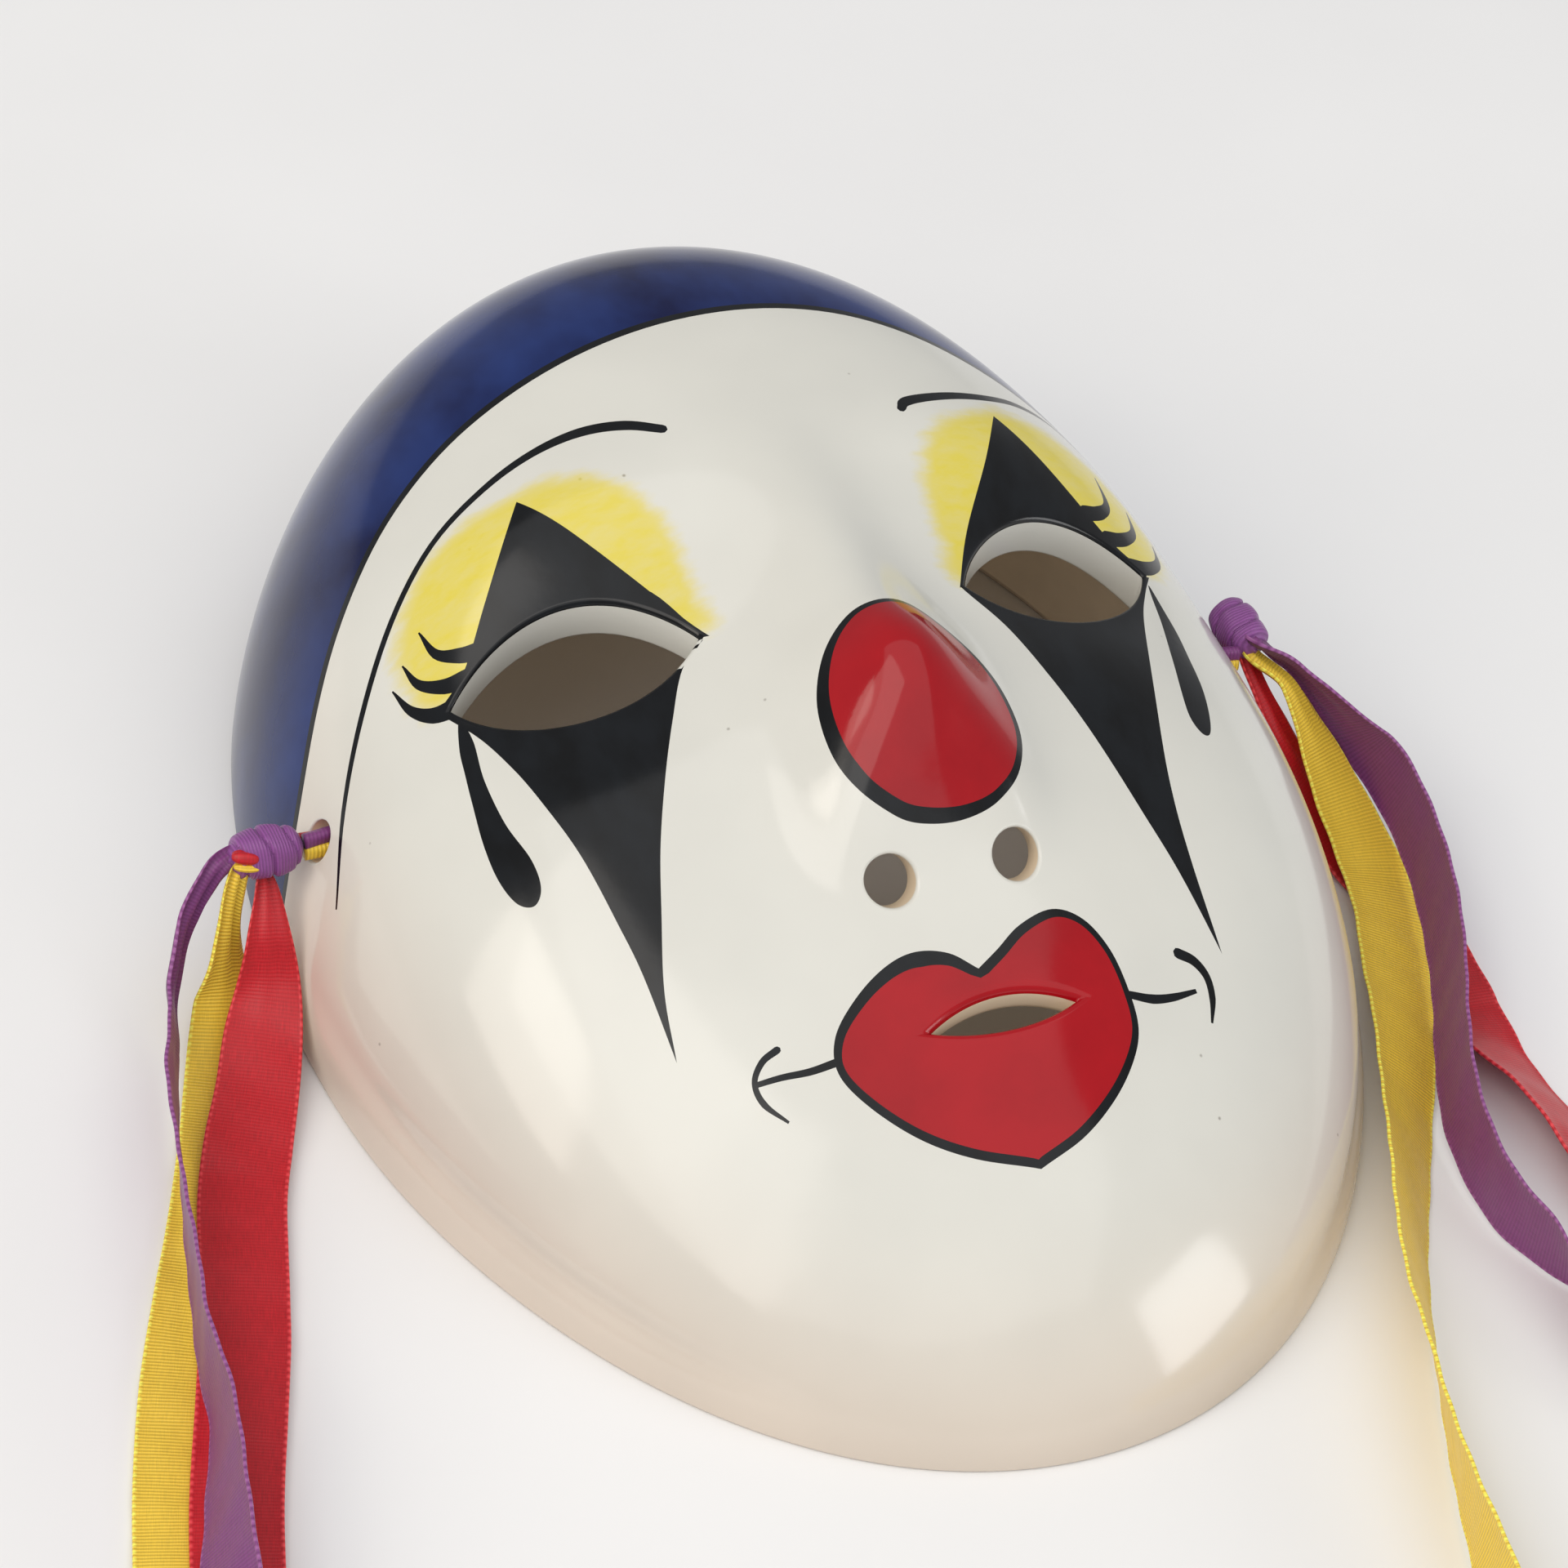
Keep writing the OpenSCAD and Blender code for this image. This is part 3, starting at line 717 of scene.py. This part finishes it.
def build_shell(spacing):
    """Mesh data of the whole shell: points, faces, face paints, wash and edge values."""
    regions = painted_regions()
    areas = [unroll(o[:, 0], o[:, 1]) for _, o in regions]
    # the blue runs from the cap's line over the crown to the rim
    line = areas[0]
    left, right = (math.atan2(*line[i]) for i in (0, -1))
    over_crown = np.linspace(right, left, 60)
    areas[0] = np.vstack([line, 1.1 * UNROLLED * compass(over_crown)])
    gaps = openings()
    outer_loops = [meet_skin(gap, gap[-1], 0.0) for gap in gaps]
    inner_loops = [meet_skin(gap, gap[-1], WALL) for gap in gaps]
    points, normals, t, faces, within, border = make_skin(spacing, 0.0, outer_loops, areas)
    paints = ["white" if not w else regions[max(w)][0] for w in within]
    in_points, in_normals, in_t, in_faces, _, in_border = make_skin(spacing * 1.8, WALL, inner_loops, [])
    shift = len(points)
    all_points = [points, in_points]
    edge = [t, in_t]
    faces = [tuple(f) for f in faces] + [(a + shift, c + shift, b + shift) for a, b, c in in_faces]
    paints += ["inside"] * len(in_faces)
    count = shift + len(in_points)

    def add_row(row, value):
        """Adds a row of points that share an edge value, and returns their indices."""
        nonlocal count
        all_points.append(row)
        edge.append(np.full(len(row), value))
        count += len(row)
        return list(range(count - len(row), count))

    turns = [math.radians(a) for a in (30, 60, 90)]
    rows = [border[0]] + [add_row(rim_row(0.0, turn, False), 1.0) for turn in turns]
    back = [[i + shift for i in in_border[0]]]
    back += [add_row(rim_row(WALL, turn, True), 1.0) for turn in turns]
    rows += back[::-1]
    sweep = (around(RIM_STEPS) + np.pi) % (2 * np.pi) - np.pi
    rim_paint = ["cap" if left < a < right else "white" for a in sweep]
    for step, (a, b) in enumerate(zip(rows, rows[1:])):
        faces += bridge(a, b)
        paints += rim_paint if step < 2 else ["white"] * len(a)
    for number, gap in enumerate(gaps):
        axis, soft = gap[1], gap[-1]
        rows = [border[1 + number]]
        for turn in turns:
            row = meet_skin(gap, soft * (1 - math.sin(turn)), 0.0)
            rows.append(add_row(row - axis * soft * (1 - math.cos(turn)), 0.2))
        back = [[i + shift for i in in_border[1 + number]]]
        for turn in turns:
            row = meet_skin(gap, soft * (1 - math.sin(turn)), WALL)
            back.append(add_row(row + axis * soft * (1 - math.cos(turn)), 0.2))
        rows += back[::-1]
        loop = outer_loops[number]
        over = ["white"] * len(loop)
        for paint, outline in regions[1:]:
            covered = inside_distance(loop[:, :2], outline) > 0
            over = [paint if c else old for c, old in zip(covered, over)]
        wall = "white" if number in EYES else "inside"
        for step, (a, b) in enumerate(zip(rows, rows[1:])):
            faces += bridge(b, a)
            paints += over if step < 3 else [wall] * len(a)
    everything = np.vstack(all_points)
    wash = np.maximum(inside_distance(everything[:, :2], smooth(LEFT_WASH, closed=True)),
                      inside_distance(everything[:, :2], smooth(RIGHT_WASH, closed=True)))
    wash[shift:] = -9
    normals = np.vstack([normals, -in_normals])
    return everything, faces, paints, wash, np.concatenate(edge), normals


def new_object(name, points, faces, materials, material_index=None, values=None, normals=None):
    """A mesh object from points in millimetres, with its materials, point values and known normals."""
    mesh = bpy.data.meshes.new(name)
    mesh.from_pydata([tuple(p) for p in np.asarray(points) * MM], [], faces)
    for material in materials:
        mesh.materials.append(material)
    if material_index is not None:
        mesh.polygons.foreach_set("material_index", material_index)
    for key, numbers in (values or {}).items():
        mesh.attributes.new(key, "FLOAT", "POINT").data.foreach_set("value", np.asarray(numbers, np.float32))
    mesh.polygons.foreach_set("use_smooth", [True] * len(mesh.polygons))
    mesh.validate()
    shape = bmesh.new()
    shape.from_mesh(mesh)
    bmesh.ops.recalc_face_normals(shape, faces=shape.faces)
    shape.to_mesh(mesh)
    shape.free()
    mesh.update()
    if normals is not None:
        own = np.empty(len(mesh.vertices) * 3, np.float32)
        mesh.vertex_normals.foreach_get("vector", own)
        own = own.reshape(-1, 3)
        own[: len(normals)] = normals
        mesh.normals_split_custom_set_from_vertices(own.tolist())
    piece = bpy.data.objects.new(name, mesh)
    bpy.context.scene.collection.objects.link(piece)
    return piece


class MASK_OT_shell(bpy.types.Operator):
    """Builds the painted and glazed shell with its openings"""

    bl_idname = "mask.shell"
    bl_label = "Glazed shell"

    def execute(self, context):
        colours = context.scene.mask_colours
        spacing = context.scene.mask_sizes.grid / MM
        points, faces, paints, wash, edge, normals = build_shell(spacing)
        materials = {
            "white": white_glaze(colours),
            "cap": underglaze("cobalt underglaze, brushed", colours.cap, colours.cap_deep, 60.0,
                              (1.0, 0.6, 0.5), 0.12, 0.22),
            "black": underglaze("black underglaze, brushed", colours.black, linear("#101317"), 220.0,
                                (1.0, 0.5, 1.0), 0.16, 0.35),
            "nose": underglaze("iron red overglaze, brushed", colours.nose, linear("#98101a"), 90.0,
                               (1.0, 1.0, 1.0), 0.1, 0.35),
            "lips": underglaze("carmine overglaze, brushed", colours.lips, linear("#9c0915"), 90.0,
                               (1.0, 1.0, 1.0), 0.12, 0.35),
            "inside": inside_glaze(colours),
        }
        order = list(materials)
        index = [order.index(paint) for paint in paints]
        shell = new_object("glazed_mask_shell", points, faces, list(materials.values()), index,
                           {"wash": wash, "edge": edge}, normals)
        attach(shell, "mask")
        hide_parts("mask_shell")
        return {"FINISHED"}


# ---------------------------------------------------------------- ribbons

# Each point of a route is x, y, height of the ribbon's lowest edge, turn of its flat side
# from lying to standing, and its width in tenths.
ROUTES = {
    "left_purple": [
        (-65.6, 6.9, 18.6, 20, 2.6), (-68, 6.1, 16.6, 55, 3), (-71, 4.5, 11.5, 72, 3.6),
        (-73.5, 0.5, 5.6, 76, 5), (-75.5, -6, 3, 78, 7.5), (-78, -13, 2, 79, 9.5),
        (-80, -21, 1.6, 82, 10), (-82, -29, 1.8, 86, 10), (-84, -38, 2, 90, 10),
        (-86, -46.5, 2.4, 92, 10), (-87, -54.5, 2.5, 98, 10), (-89, -61.5, 2.6, 108, 10),
        (-91, -68, 2.6, 115, 10), (-93.5, -76, 2.6, 128, 10), (-97, -88, 2.7, 150, 10),
        (-103, -105, 2.6, 172, 10), (-110, -124, 2.3, 180, 10)],
    "left_yellow": [
        (-65.2, 5.2, 16.6, 30, 2.6), (-66.5, 3.2, 10.5, 40, 4), (-67.4, 0, 3.5, 20, 8),
        (-69.2, -7, 0.4, 5, 10), (-73.4, -17, 0.1, 2, 10), (-78, -27, 0.3, -1, 10),
        (-83, -37, 0.1, 2, 10), (-87.5, -46.5, 0.2, -2, 10), (-92, -58, 0.1, 1, 10),
        (-96, -70, 0.3, -2, 10), (-101, -84, 0.1, 2, 10), (-106, -98, 0.4, -1, 10),
        (-113, -114, 0.1, 1, 10)],
    "left_red": [
        (-61.9, 5.2, 16.2, 0, 2.6), (-62.6, 1, 12, 1, 5.2), (-63.4, -2, 7.4, 0, 7.4),
        (-65.2, -6, 4.2, 3, 9), (-67.8, -11.8, 2.6, 0, 9.5), (-70.8, -17.8, 1.6, 2, 10),
        (-74, -25, 1.3, -1, 10), (-77, -34, 1.4, 2, 10), (-80, -43, 1.3, -1, 10),
        (-83.5, -52, 1.5, 1, 10), (-88, -63.5, 1.3, -2, 10), (-92, -76, 1.5, 1, 10),
        (-96, -90, 1.3, -1, 10), (-101, -105, 1.4, 1, 10), (-107, -120, 0.9, 2, 10)],
    "right_purple": [
        (59.3, 6.3, 20.6, 20, 2.6), (64.3, 4.6, 16.2, 45, 4), (68.4, 1.3, 10.8, 70, 7),
        (71.2, -3, 6.3, 85, 10), (72.7, -9.3, 3.8, 95, 10), (72, -17.5, 2.4, 98, 10),
        (69.4, -26.7, 2, 100, 10), (65.5, -36, 2.1, 100, 10), (61, -45, 2, 100, 10),
        (57.5, -53.5, 1.6, 99, 10), (56, -61, 1, 95, 10), (56, -68, 0.5, 90, 10),
        (57.8, -74.5, 0.3, 80, 10), (60, -83, 0.2, 50, 10), (62, -94, 0.3, 20, 10),
        (63.5, -105, 0.1, 3, 10), (64.5, -117, 0.3, -2, 10)],
    "right_yellow": [
        (59.2, 6.2, 18.8, 0, 2.6), (62.8, 3.6, 15.9, 5, 4), (65.4, -0.4, 10.5, 10, 6.5),
        (67, -6.5, 5.6, 10, 8.5), (67.6, -14, 2.2, 12, 9.5), (65.9, -22.3, 1, 18, 10),
        (62.1, -31.5, 1.2, 20, 10), (57.8, -41, 1.3, 30, 10), (53, -50.5, 0.3, 42, 10),
        (48.4, -59.5, 0.2, 51, 10), (44, -68, 0.3, 57, 10), (40.4, -76.5, 0.2, 62, 10),
        (37.5, -85, 0.3, 70, 10), (34.5, -94, 0.2, 77, 10), (32, -103, 0.3, 85, 10),
        (30, -112, 0.2, 95, 10), (27.5, -122, 0.3, 104, 10)],
    "right_red": [
        (58.9, 7, 17.9, 0, 2.6), (61.8, 0.6, 11, 1, 4.5), (65, -4, 5.5, 0, 7.5),
        (67.4, -10.5, 1.4, 1, 9.5), (69.6, -18, 0.2, 0, 10), (69.5, -27, 0.1, 1, 10),
        (68.5, -36.5, 0.2, 0, 10), (68.2, -45.5, 0.1, 28, 10), (69.2, -54, 0.2, 38, 10),
        (70.5, -64, 0.1, 30, 10), (72, -75, 0.2, 10, 10), (74.5, -88, 0.3, -1, 10),
        (77, -101, 0.1, 1, 10), (79.5, -114, 0.3, -1, 10)],
}

# Where the ribbons come together inside each outer knot, as the ribbons' lowest edge
KNOT_HEART = {"left": (-63.3, 7.0, 18.6), "right": (58.9, 8.8, 19.6)}

# Section of a ribbon: place across from -1 to 1, and half thickness in millimetres.
# The selvedge on each side is a thicker bead.
SECTION = [(-1.0, 0.0), (-0.985, 0.16), (-0.955, 0.21), (-0.925, 0.16), (-0.9, 0.12), (-0.6, 0.12),
           (-0.3, 0.12), (0.0, 0.12), (0.3, 0.12), (0.6, 0.12), (0.9, 0.12), (0.925, 0.16),
           (0.955, 0.21), (0.985, 0.16), (1.0, 0.0)]


def ribbon_mesh(route, width, start):
    """Points, faces, point values and centreline of a ribbon that leaves start along a route."""
    rows = smooth([start + (route[0][3], 2.2)] + route, 14)
    way = np.gradient(rows[:, :3], axis=0)
    way /= np.linalg.norm(way, axis=1)[:, None]
    level = np.cross(way, [0, 0, 1])
    level /= np.linalg.norm(level, axis=1)[:, None]
    roll = np.radians(rows[:, 3])[:, None]
    across = np.cos(roll) * level + np.sin(roll) * np.cross(level, way)
    normal = np.cross(across, way)
    half = rows[:, 4] * width / 20
    centre = rows[:, :3].copy()
    centre[:, 2] = np.maximum(rows[:, 2], 0.02) + half * np.abs(across[:, 2]) + 0.25
    run = np.concatenate([[0], np.cumsum(np.linalg.norm(np.diff(centre, axis=0), axis=1))])
    # gathered into pleats where it is drawn into the knot, and very slightly cupped elsewhere
    gather = np.clip((10 - rows[:, 4]) / 7.4, 0, 1)
    loop = SECTION + [(x, -thick) for x, thick in SECTION[-2:0:-1]]
    points, along, over, border = [], [], [], []
    for i in range(len(rows)):
        for x, thick in loop:
            pleat = gather[i] * 0.45 * math.sin(x * 2.6 * math.pi + 0.6) + 0.12 * (1 - x * x)
            ripple = 0.06 * math.sin(run[i] * 0.9 + 2 * x)
            points.append(centre[i] + x * half[i] * across[i] + (thick + pleat + ripple) * normal[i])
            along.append(run[i])
            over.append(x * width / 2)
            border.append(max(0.0, min(1.0, (abs(x) - 0.9) / 0.04)))
    n = len(loop)
    faces = []
    for i in range(len(rows) - 1):
        for k in range(n):
            a, b = i * n + k, i * n + (k + 1) % n
            faces.append((a, a + n, b + n, b))
    half_loop = len(SECTION)
    for first, flip in ((0, False), ((len(rows) - 1) * n, True)):
        for k in range(half_loop - 1):
            low_a = first + (n - k) % n
            low_b = first + n - k - 1
            quad = [first + k, first + k + 1, low_b, low_a]
            quad = quad[:3] if low_a == first + k else quad
            quad = [quad[0], quad[1], quad[3]] if len(quad) == 4 and low_b == first + k + 1 else quad
            faces.append(tuple(quad[::-1] if flip else quad))
    centre[:, 2] = np.maximum(centre[:, 2], 0.1)
    return points, faces, {"along": along, "across": over, "border": border}, centre


class MASK_OT_ribbons(bpy.types.Operator):
    """Lays the six satin ribbons from the knots down to the surface"""

    bl_idname = "mask.ribbons"
    bl_label = "Satin ribbons"

    def execute(self, context):
        width = context.scene.mask_sizes.ribbon_width / MM
        satins = ribbon_materials()
        for name, route in ROUTES.items():
            side, colour = name.split("_")
            points, faces, values, centre = ribbon_mesh(route, width, KNOT_HEART[side])
            piece = new_object(name + "_satin_ribbon", points, faces, [satins[colour]], None, values)
            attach(piece, side + "_ribbons")
            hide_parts(name + "_ribbon")
            path = centre[::4]
            path = np.vstack([path, centre[-1:]]) if len(centre) % 4 != 1 else path
        return {"FINISHED"}


# ---------------------------------------------------------------- knots


def axes(way):
    """Unit vectors along a direction, level across it, and up from it."""
    way = np.array(way, float)
    way /= np.linalg.norm(way)
    side = np.cross(way, [0, 0, 1])
    side /= np.linalg.norm(side)
    return way, side, np.cross(side, way)


def tube_faces(rows, columns, first=0, capped=True):
    """Faces of a tube whose rows of points follow each other from the index first."""
    faces = []
    for i in range(rows):
        for k in range(columns):
            a, b = first + i * columns + k, first + i * columns + (k + 1) % columns
            faces.append((a, b, b + columns, a + columns))
    if capped:
        faces.append(tuple(first + k for k in range(columns))[::-1])
        faces.append(tuple(first + rows * columns + k for k in range(columns)))
    return faces


def knot_mesh(start, end, radius, waist, turns):
    """A ribbon wound into a tight barrel between two points, with the edge of each turn showing."""
    start, end = np.array(start, float), np.array(end, float)
    length = np.linalg.norm(end - start)
    way, side, up = axes(end - start)
    rows, columns = 72, 96
    end_share = 0.16  # share of the length in which each end is rounded
    points, along, over = [], [], []
    for i in range(rows + 1):
        s = i / rows
        belly = math.sin(math.pi * s)
        bulge = waist + (radius - waist) * max(0, belly) ** 0.8
        end_round = math.sin(math.pi / 2 * min(1, min(s, 1 - s) / end_share))
        for phi in around(columns):
            part = (turns * s + phi / (2 * math.pi) + 0.06 * math.sin(3 * phi)) % 1
            # each turn starts in a crease and rises a little towards its far edge
            step = 1 - 0.13 * math.exp(-((min(part, 1 - part) / 0.09) ** 2)) + 0.03 * part
            crease = 1 + 0.035 * math.sin(5 * phi + 7 * s) * belly
            r = bulge * end_round * step * crease * 0.97
            points.append(start + way * length * s + r * (math.cos(phi) * side + math.sin(phi) * up))
            along.append(length * s + 0.5 * part)
            over.append(phi * radius)
    values = {"along": along, "across": over, "border": [0.0] * len(points)}
    return points, tube_faces(rows, columns), values


def tuck_mesh(centre, long_axis, sizes):
    """A small fold of ribbon caught in a knot: a flattened lump with a crease along it."""
    way, side, up = axes(long_axis)
    rows, columns = 20, 32
    points, along, over = [], [], []
    for i in range(rows + 1):
        s = math.pi * i / rows
        for k, phi in enumerate(around(columns)):
            crease = 1 - 0.22 * math.exp(-((math.sin(phi / 2 - 0.6) / 0.16) ** 2))
            r = math.sin(s) ** 0.7 * crease if 0 < i < rows else 0.02
            points.append(np.array(centre) - way * sizes[0] * math.cos(s)
                          + r * (sizes[1] * math.cos(phi) * side + sizes[2] * math.sin(phi) * up))
            along.append(k * 0.1)
            over.append(i * 0.1)
    values = {"along": along, "across": over, "border": [0.0] * len(points)}
    return points, tube_faces(rows, columns, capped=False), values


class MASK_OT_knots(bpy.types.Operator):
    """Ties the knots on both sides of each ribbon hole"""

    bl_idname = "mask.knots"
    bl_label = "Knots"

    def execute(self, context):
        satins = ribbon_materials()
        # the knot's two ends, its radius at the middle and towards the ends, its turns, its body
        knots = {
            "left_outer_knot": ((-57, 7, 19), (-66, 7, 19), 2.95, 1.7, 3.2, "left_ribbons"),
            "right_outer_knot": ((58.6, 14, 20.2), (59.2, 6, 20.2), 2.85, 1.9, 2.6, "right_ribbons"),
            "left_inner_knot": ((-48.9, 7, 19), (-41.9, 7, 19), 3.9, 2.3, 2.4, "mask"),
            "right_inner_knot": ((48.9, 7, 19), (41.9, 7, 19), 3.9, 2.3, 2.4, "mask"),
        }
        for name, (start, end, radius, waist, turns, body) in knots.items():
            points, faces, values = knot_mesh(start, end, radius, waist, turns)
            piece = new_object(name + "_satin", points, faces, [satins["knot"]], None, values)
            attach(piece, body)
            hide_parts(name)
        tucks = {
            "red": ((-64.3, 5.5, 20.4), (-1, 0.35, 0.1), (1.5, 0.9, 0.75)),
            "yellow": ((-64.2, 5.0, 19.4), (-1, 0.3, 0.05), (1.5, 0.7, 0.5)),
        }
        for colour, (centre, axis, sizes) in tucks.items():
            points, faces, values = tuck_mesh(centre, axis, sizes)
            piece = new_object("left_" + colour + "_tuck", points, faces, [satins[colour]], None, values)
            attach(piece, "left_ribbons")
        return {"FINISHED"}


class MASK_OT_strands(bpy.types.Operator):
    """Passes the three ribbons, pressed together, through each hole"""

    bl_idname = "mask.strands"
    bl_label = "Ribbons in the holes"

    def execute(self, context):
        satins = ribbon_materials()
        columns, rows = 20, 24
        start, end = WALL_IN - 2.2, HOLE[0] + 1.4
        off_centre = 0.85  # of each ribbon's bundle from the middle of the hole
        for side, name in ((-1, "left"), (1, "right")):
            points, faces, index, along, over = [], [], [], [], []
            for number, turn in enumerate((60, 180, 300)):
                faces += tube_faces(rows, columns, len(points))
                index += [number] * (rows * columns + 2)
                for i in range(rows + 1):
                    s = i / rows
                    angle = math.radians(turn + 50 * s)
                    hub_y = HOLE[1] + off_centre * math.cos(angle)
                    hub_z = HOLE[2] + off_centre * math.sin(angle)
                    for phi in around(columns):
                        fold = 0.86 + 0.1 * math.sin(3 * phi + 2 * s)
                        points.append((side * (start + s * (end - start)),
                                       hub_y + fold * math.cos(phi), hub_z + fold * math.sin(phi)))
                        along.append(s * 8)
                        over.append(phi)
            values = {"along": along, "across": over, "border": [0.0] * len(points)}
            piece = new_object(name + "_hole_strand_satin", points, faces,
                               [satins["purple"], satins["yellow"], satins["red"]], index, values)
            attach(piece, "mask")
            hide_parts(name + "_hole_strand")
        return {"FINISHED"}


# ---------------------------------------------------------------- stage

CAMERA_AZIMUTH = math.radians(-30.84)
CAMERA_ELEVATION = math.radians(43.5)
CAMERA_ROLL = math.radians(10.73)
CAMERA_DISTANCE = 601.8
CAMERA_LENS = 121.9
AIM_RIGHT = -0.346
AIM_UP = 14.09


def direction(azimuth, elevation):
    """Unit vector from the mask towards a place at this azimuth and elevation, in degrees."""
    a, e = math.radians(azimuth), math.radians(elevation)
    return Vector((math.sin(a) * math.cos(e), -math.cos(a) * math.cos(e), math.sin(e)))


def add_softbox(name, azimuth, elevation, distance, width, height, power, colour):
    """A square studio light that looks at the mask."""
    light = bpy.data.lights.new(name, "AREA")
    light.shape = "RECTANGLE"
    light.size = width
    light.size_y = height
    light.energy = power
    light.color = linear(colour)[:3]
    lamp = bpy.data.objects.new(name, light)
    lamp.location = direction(azimuth, elevation) * distance
    lamp.rotation_euler = lamp.location.to_track_quat("Z", "Y").to_euler()
    bpy.context.scene.collection.objects.link(lamp)


class MASK_OT_stage(bpy.types.Operator):
    """Sets the camera, the soft lights and the pale floor"""

    bl_idname = "mask.stage"
    bl_label = "Stage"

    def execute(self, context):
        back = direction(math.degrees(CAMERA_AZIMUTH), math.degrees(CAMERA_ELEVATION))
        level = Vector((math.cos(CAMERA_AZIMUTH), math.sin(CAMERA_AZIMUTH), 0))
        upright = back.cross(level)
        right = math.cos(CAMERA_ROLL) * level + math.sin(CAMERA_ROLL) * upright
        up = back.cross(right)
        camera = bpy.data.objects.new("camera", bpy.data.cameras.new("camera"))
        camera.data.lens = CAMERA_LENS
        camera.data.sensor_width = 36
        camera.data.clip_start = 0.01
        place = (right * AIM_RIGHT + up * AIM_UP + back * CAMERA_DISTANCE) * MM
        camera.matrix_world = Matrix.Translation(place) @ Matrix((right, up, back)).transposed().to_4x4()
        context.scene.collection.objects.link(camera)
        context.scene.camera = camera
        context.scene.view_settings.view_transform = "Standard"

        add_softbox("window_left", -68, 50, 1.3, 1.0, 0.9, 5.0, "#fff8f0")
        add_softbox("window_far_left", -88, 30, 1.3, 0.5, 0.6, 3.0, "#fff6ea")
        add_softbox("window_right", 50, 15, 1.3, 0.55, 0.42, 3.2, "#ffffff")
        add_softbox("front_fill", -12, 74, 1.7, 2.8, 2.6, 17.0, "#ffffff")

        world = bpy.data.worlds.new("studio")
        context.scene.world = world
        world.use_nodes = True
        sky = world.node_tree.nodes["Background"]
        sky.inputs["Color"].default_value = linear("#f1f2f4")
        sky.inputs["Strength"].default_value = 0.44

        mesh = bpy.data.meshes.new("floor")
        reach = 6.0
        mesh.from_pydata([(-reach, -reach, 0), (reach, -reach, 0), (reach, reach, 0), (-reach, reach, 0)],
                         [], [(0, 1, 2, 3)])
        paper, tree, shader = new_material("pale paper sweep", Roughness=0.7)
        spot = add_node(tree, "ShaderNodeTexCoord").outputs["Object"]
        grain = add_node(tree, "ShaderNodeTexNoise", {"Vector": spot, "Scale": 14.0, "Detail": 5.0})
        tone = add_node(tree, "ShaderNodeMapRange", {
            "Value": grain.outputs["Fac"], "From Min": 0.3, "From Max": 0.7, "To Min": 0.84, "To Max": 0.87})
        grey = add_node(tree, "ShaderNodeCombineColor", {
            "Red": tone.outputs["Result"], "Green": tone.outputs["Result"], "Blue": tone.outputs["Result"]})
        tree.links.new(grey.outputs["Color"], shader.inputs["Base Color"])
        mesh.materials.append(paper)
        floor = bpy.data.objects.new("floor", mesh)
        context.scene.collection.objects.link(floor)
        return {"FINISHED"}


# ---------------------------------------------------------------- panel and registration


class MASK_PT_panel(bpy.types.Panel):
    """Lists the mask's settings and the steps that build it"""

    bl_idname = "MASK_PT_panel"
    bl_label = "Clown mask"
    bl_space_type = "VIEW_3D"
    bl_region_type = "UI"
    bl_category = "Clown mask"

    def draw(self, context):
        for settings in (context.scene.mask_sizes, context.scene.mask_colours):
            for name in settings.__annotations__:
                self.layout.prop(settings, name)
        for step in STEPS:
            self.layout.operator(step.bl_idname)


STEPS = (MASK_OT_stage, MASK_OT_knots, MASK_OT_ribbons, MASK_OT_strands, MASK_OT_shell)
CLASSES = (MaskColours, MaskSizes) + STEPS + (MASK_PT_panel,)


def register():
    """Adds the operators, the panel and the settings."""
    for cls in CLASSES:
        bpy.utils.register_class(cls)
    bpy.types.Scene.mask_colours = bpy.props.PointerProperty(type=MaskColours)
    bpy.types.Scene.mask_sizes = bpy.props.PointerProperty(type=MaskSizes)


def unregister():
    """Takes them away again."""
    del bpy.types.Scene.mask_sizes
    del bpy.types.Scene.mask_colours
    for cls in reversed(CLASSES):
        bpy.utils.unregister_class(cls)


def main():
    """Builds every piece and the stage."""
    register()
    bpy.ops.mask.stage()
    bpy.ops.mask.knots()
    bpy.ops.mask.ribbons()
    bpy.ops.mask.strands()
    bpy.ops.mask.shell()


if __name__ == "__main__":
    main()
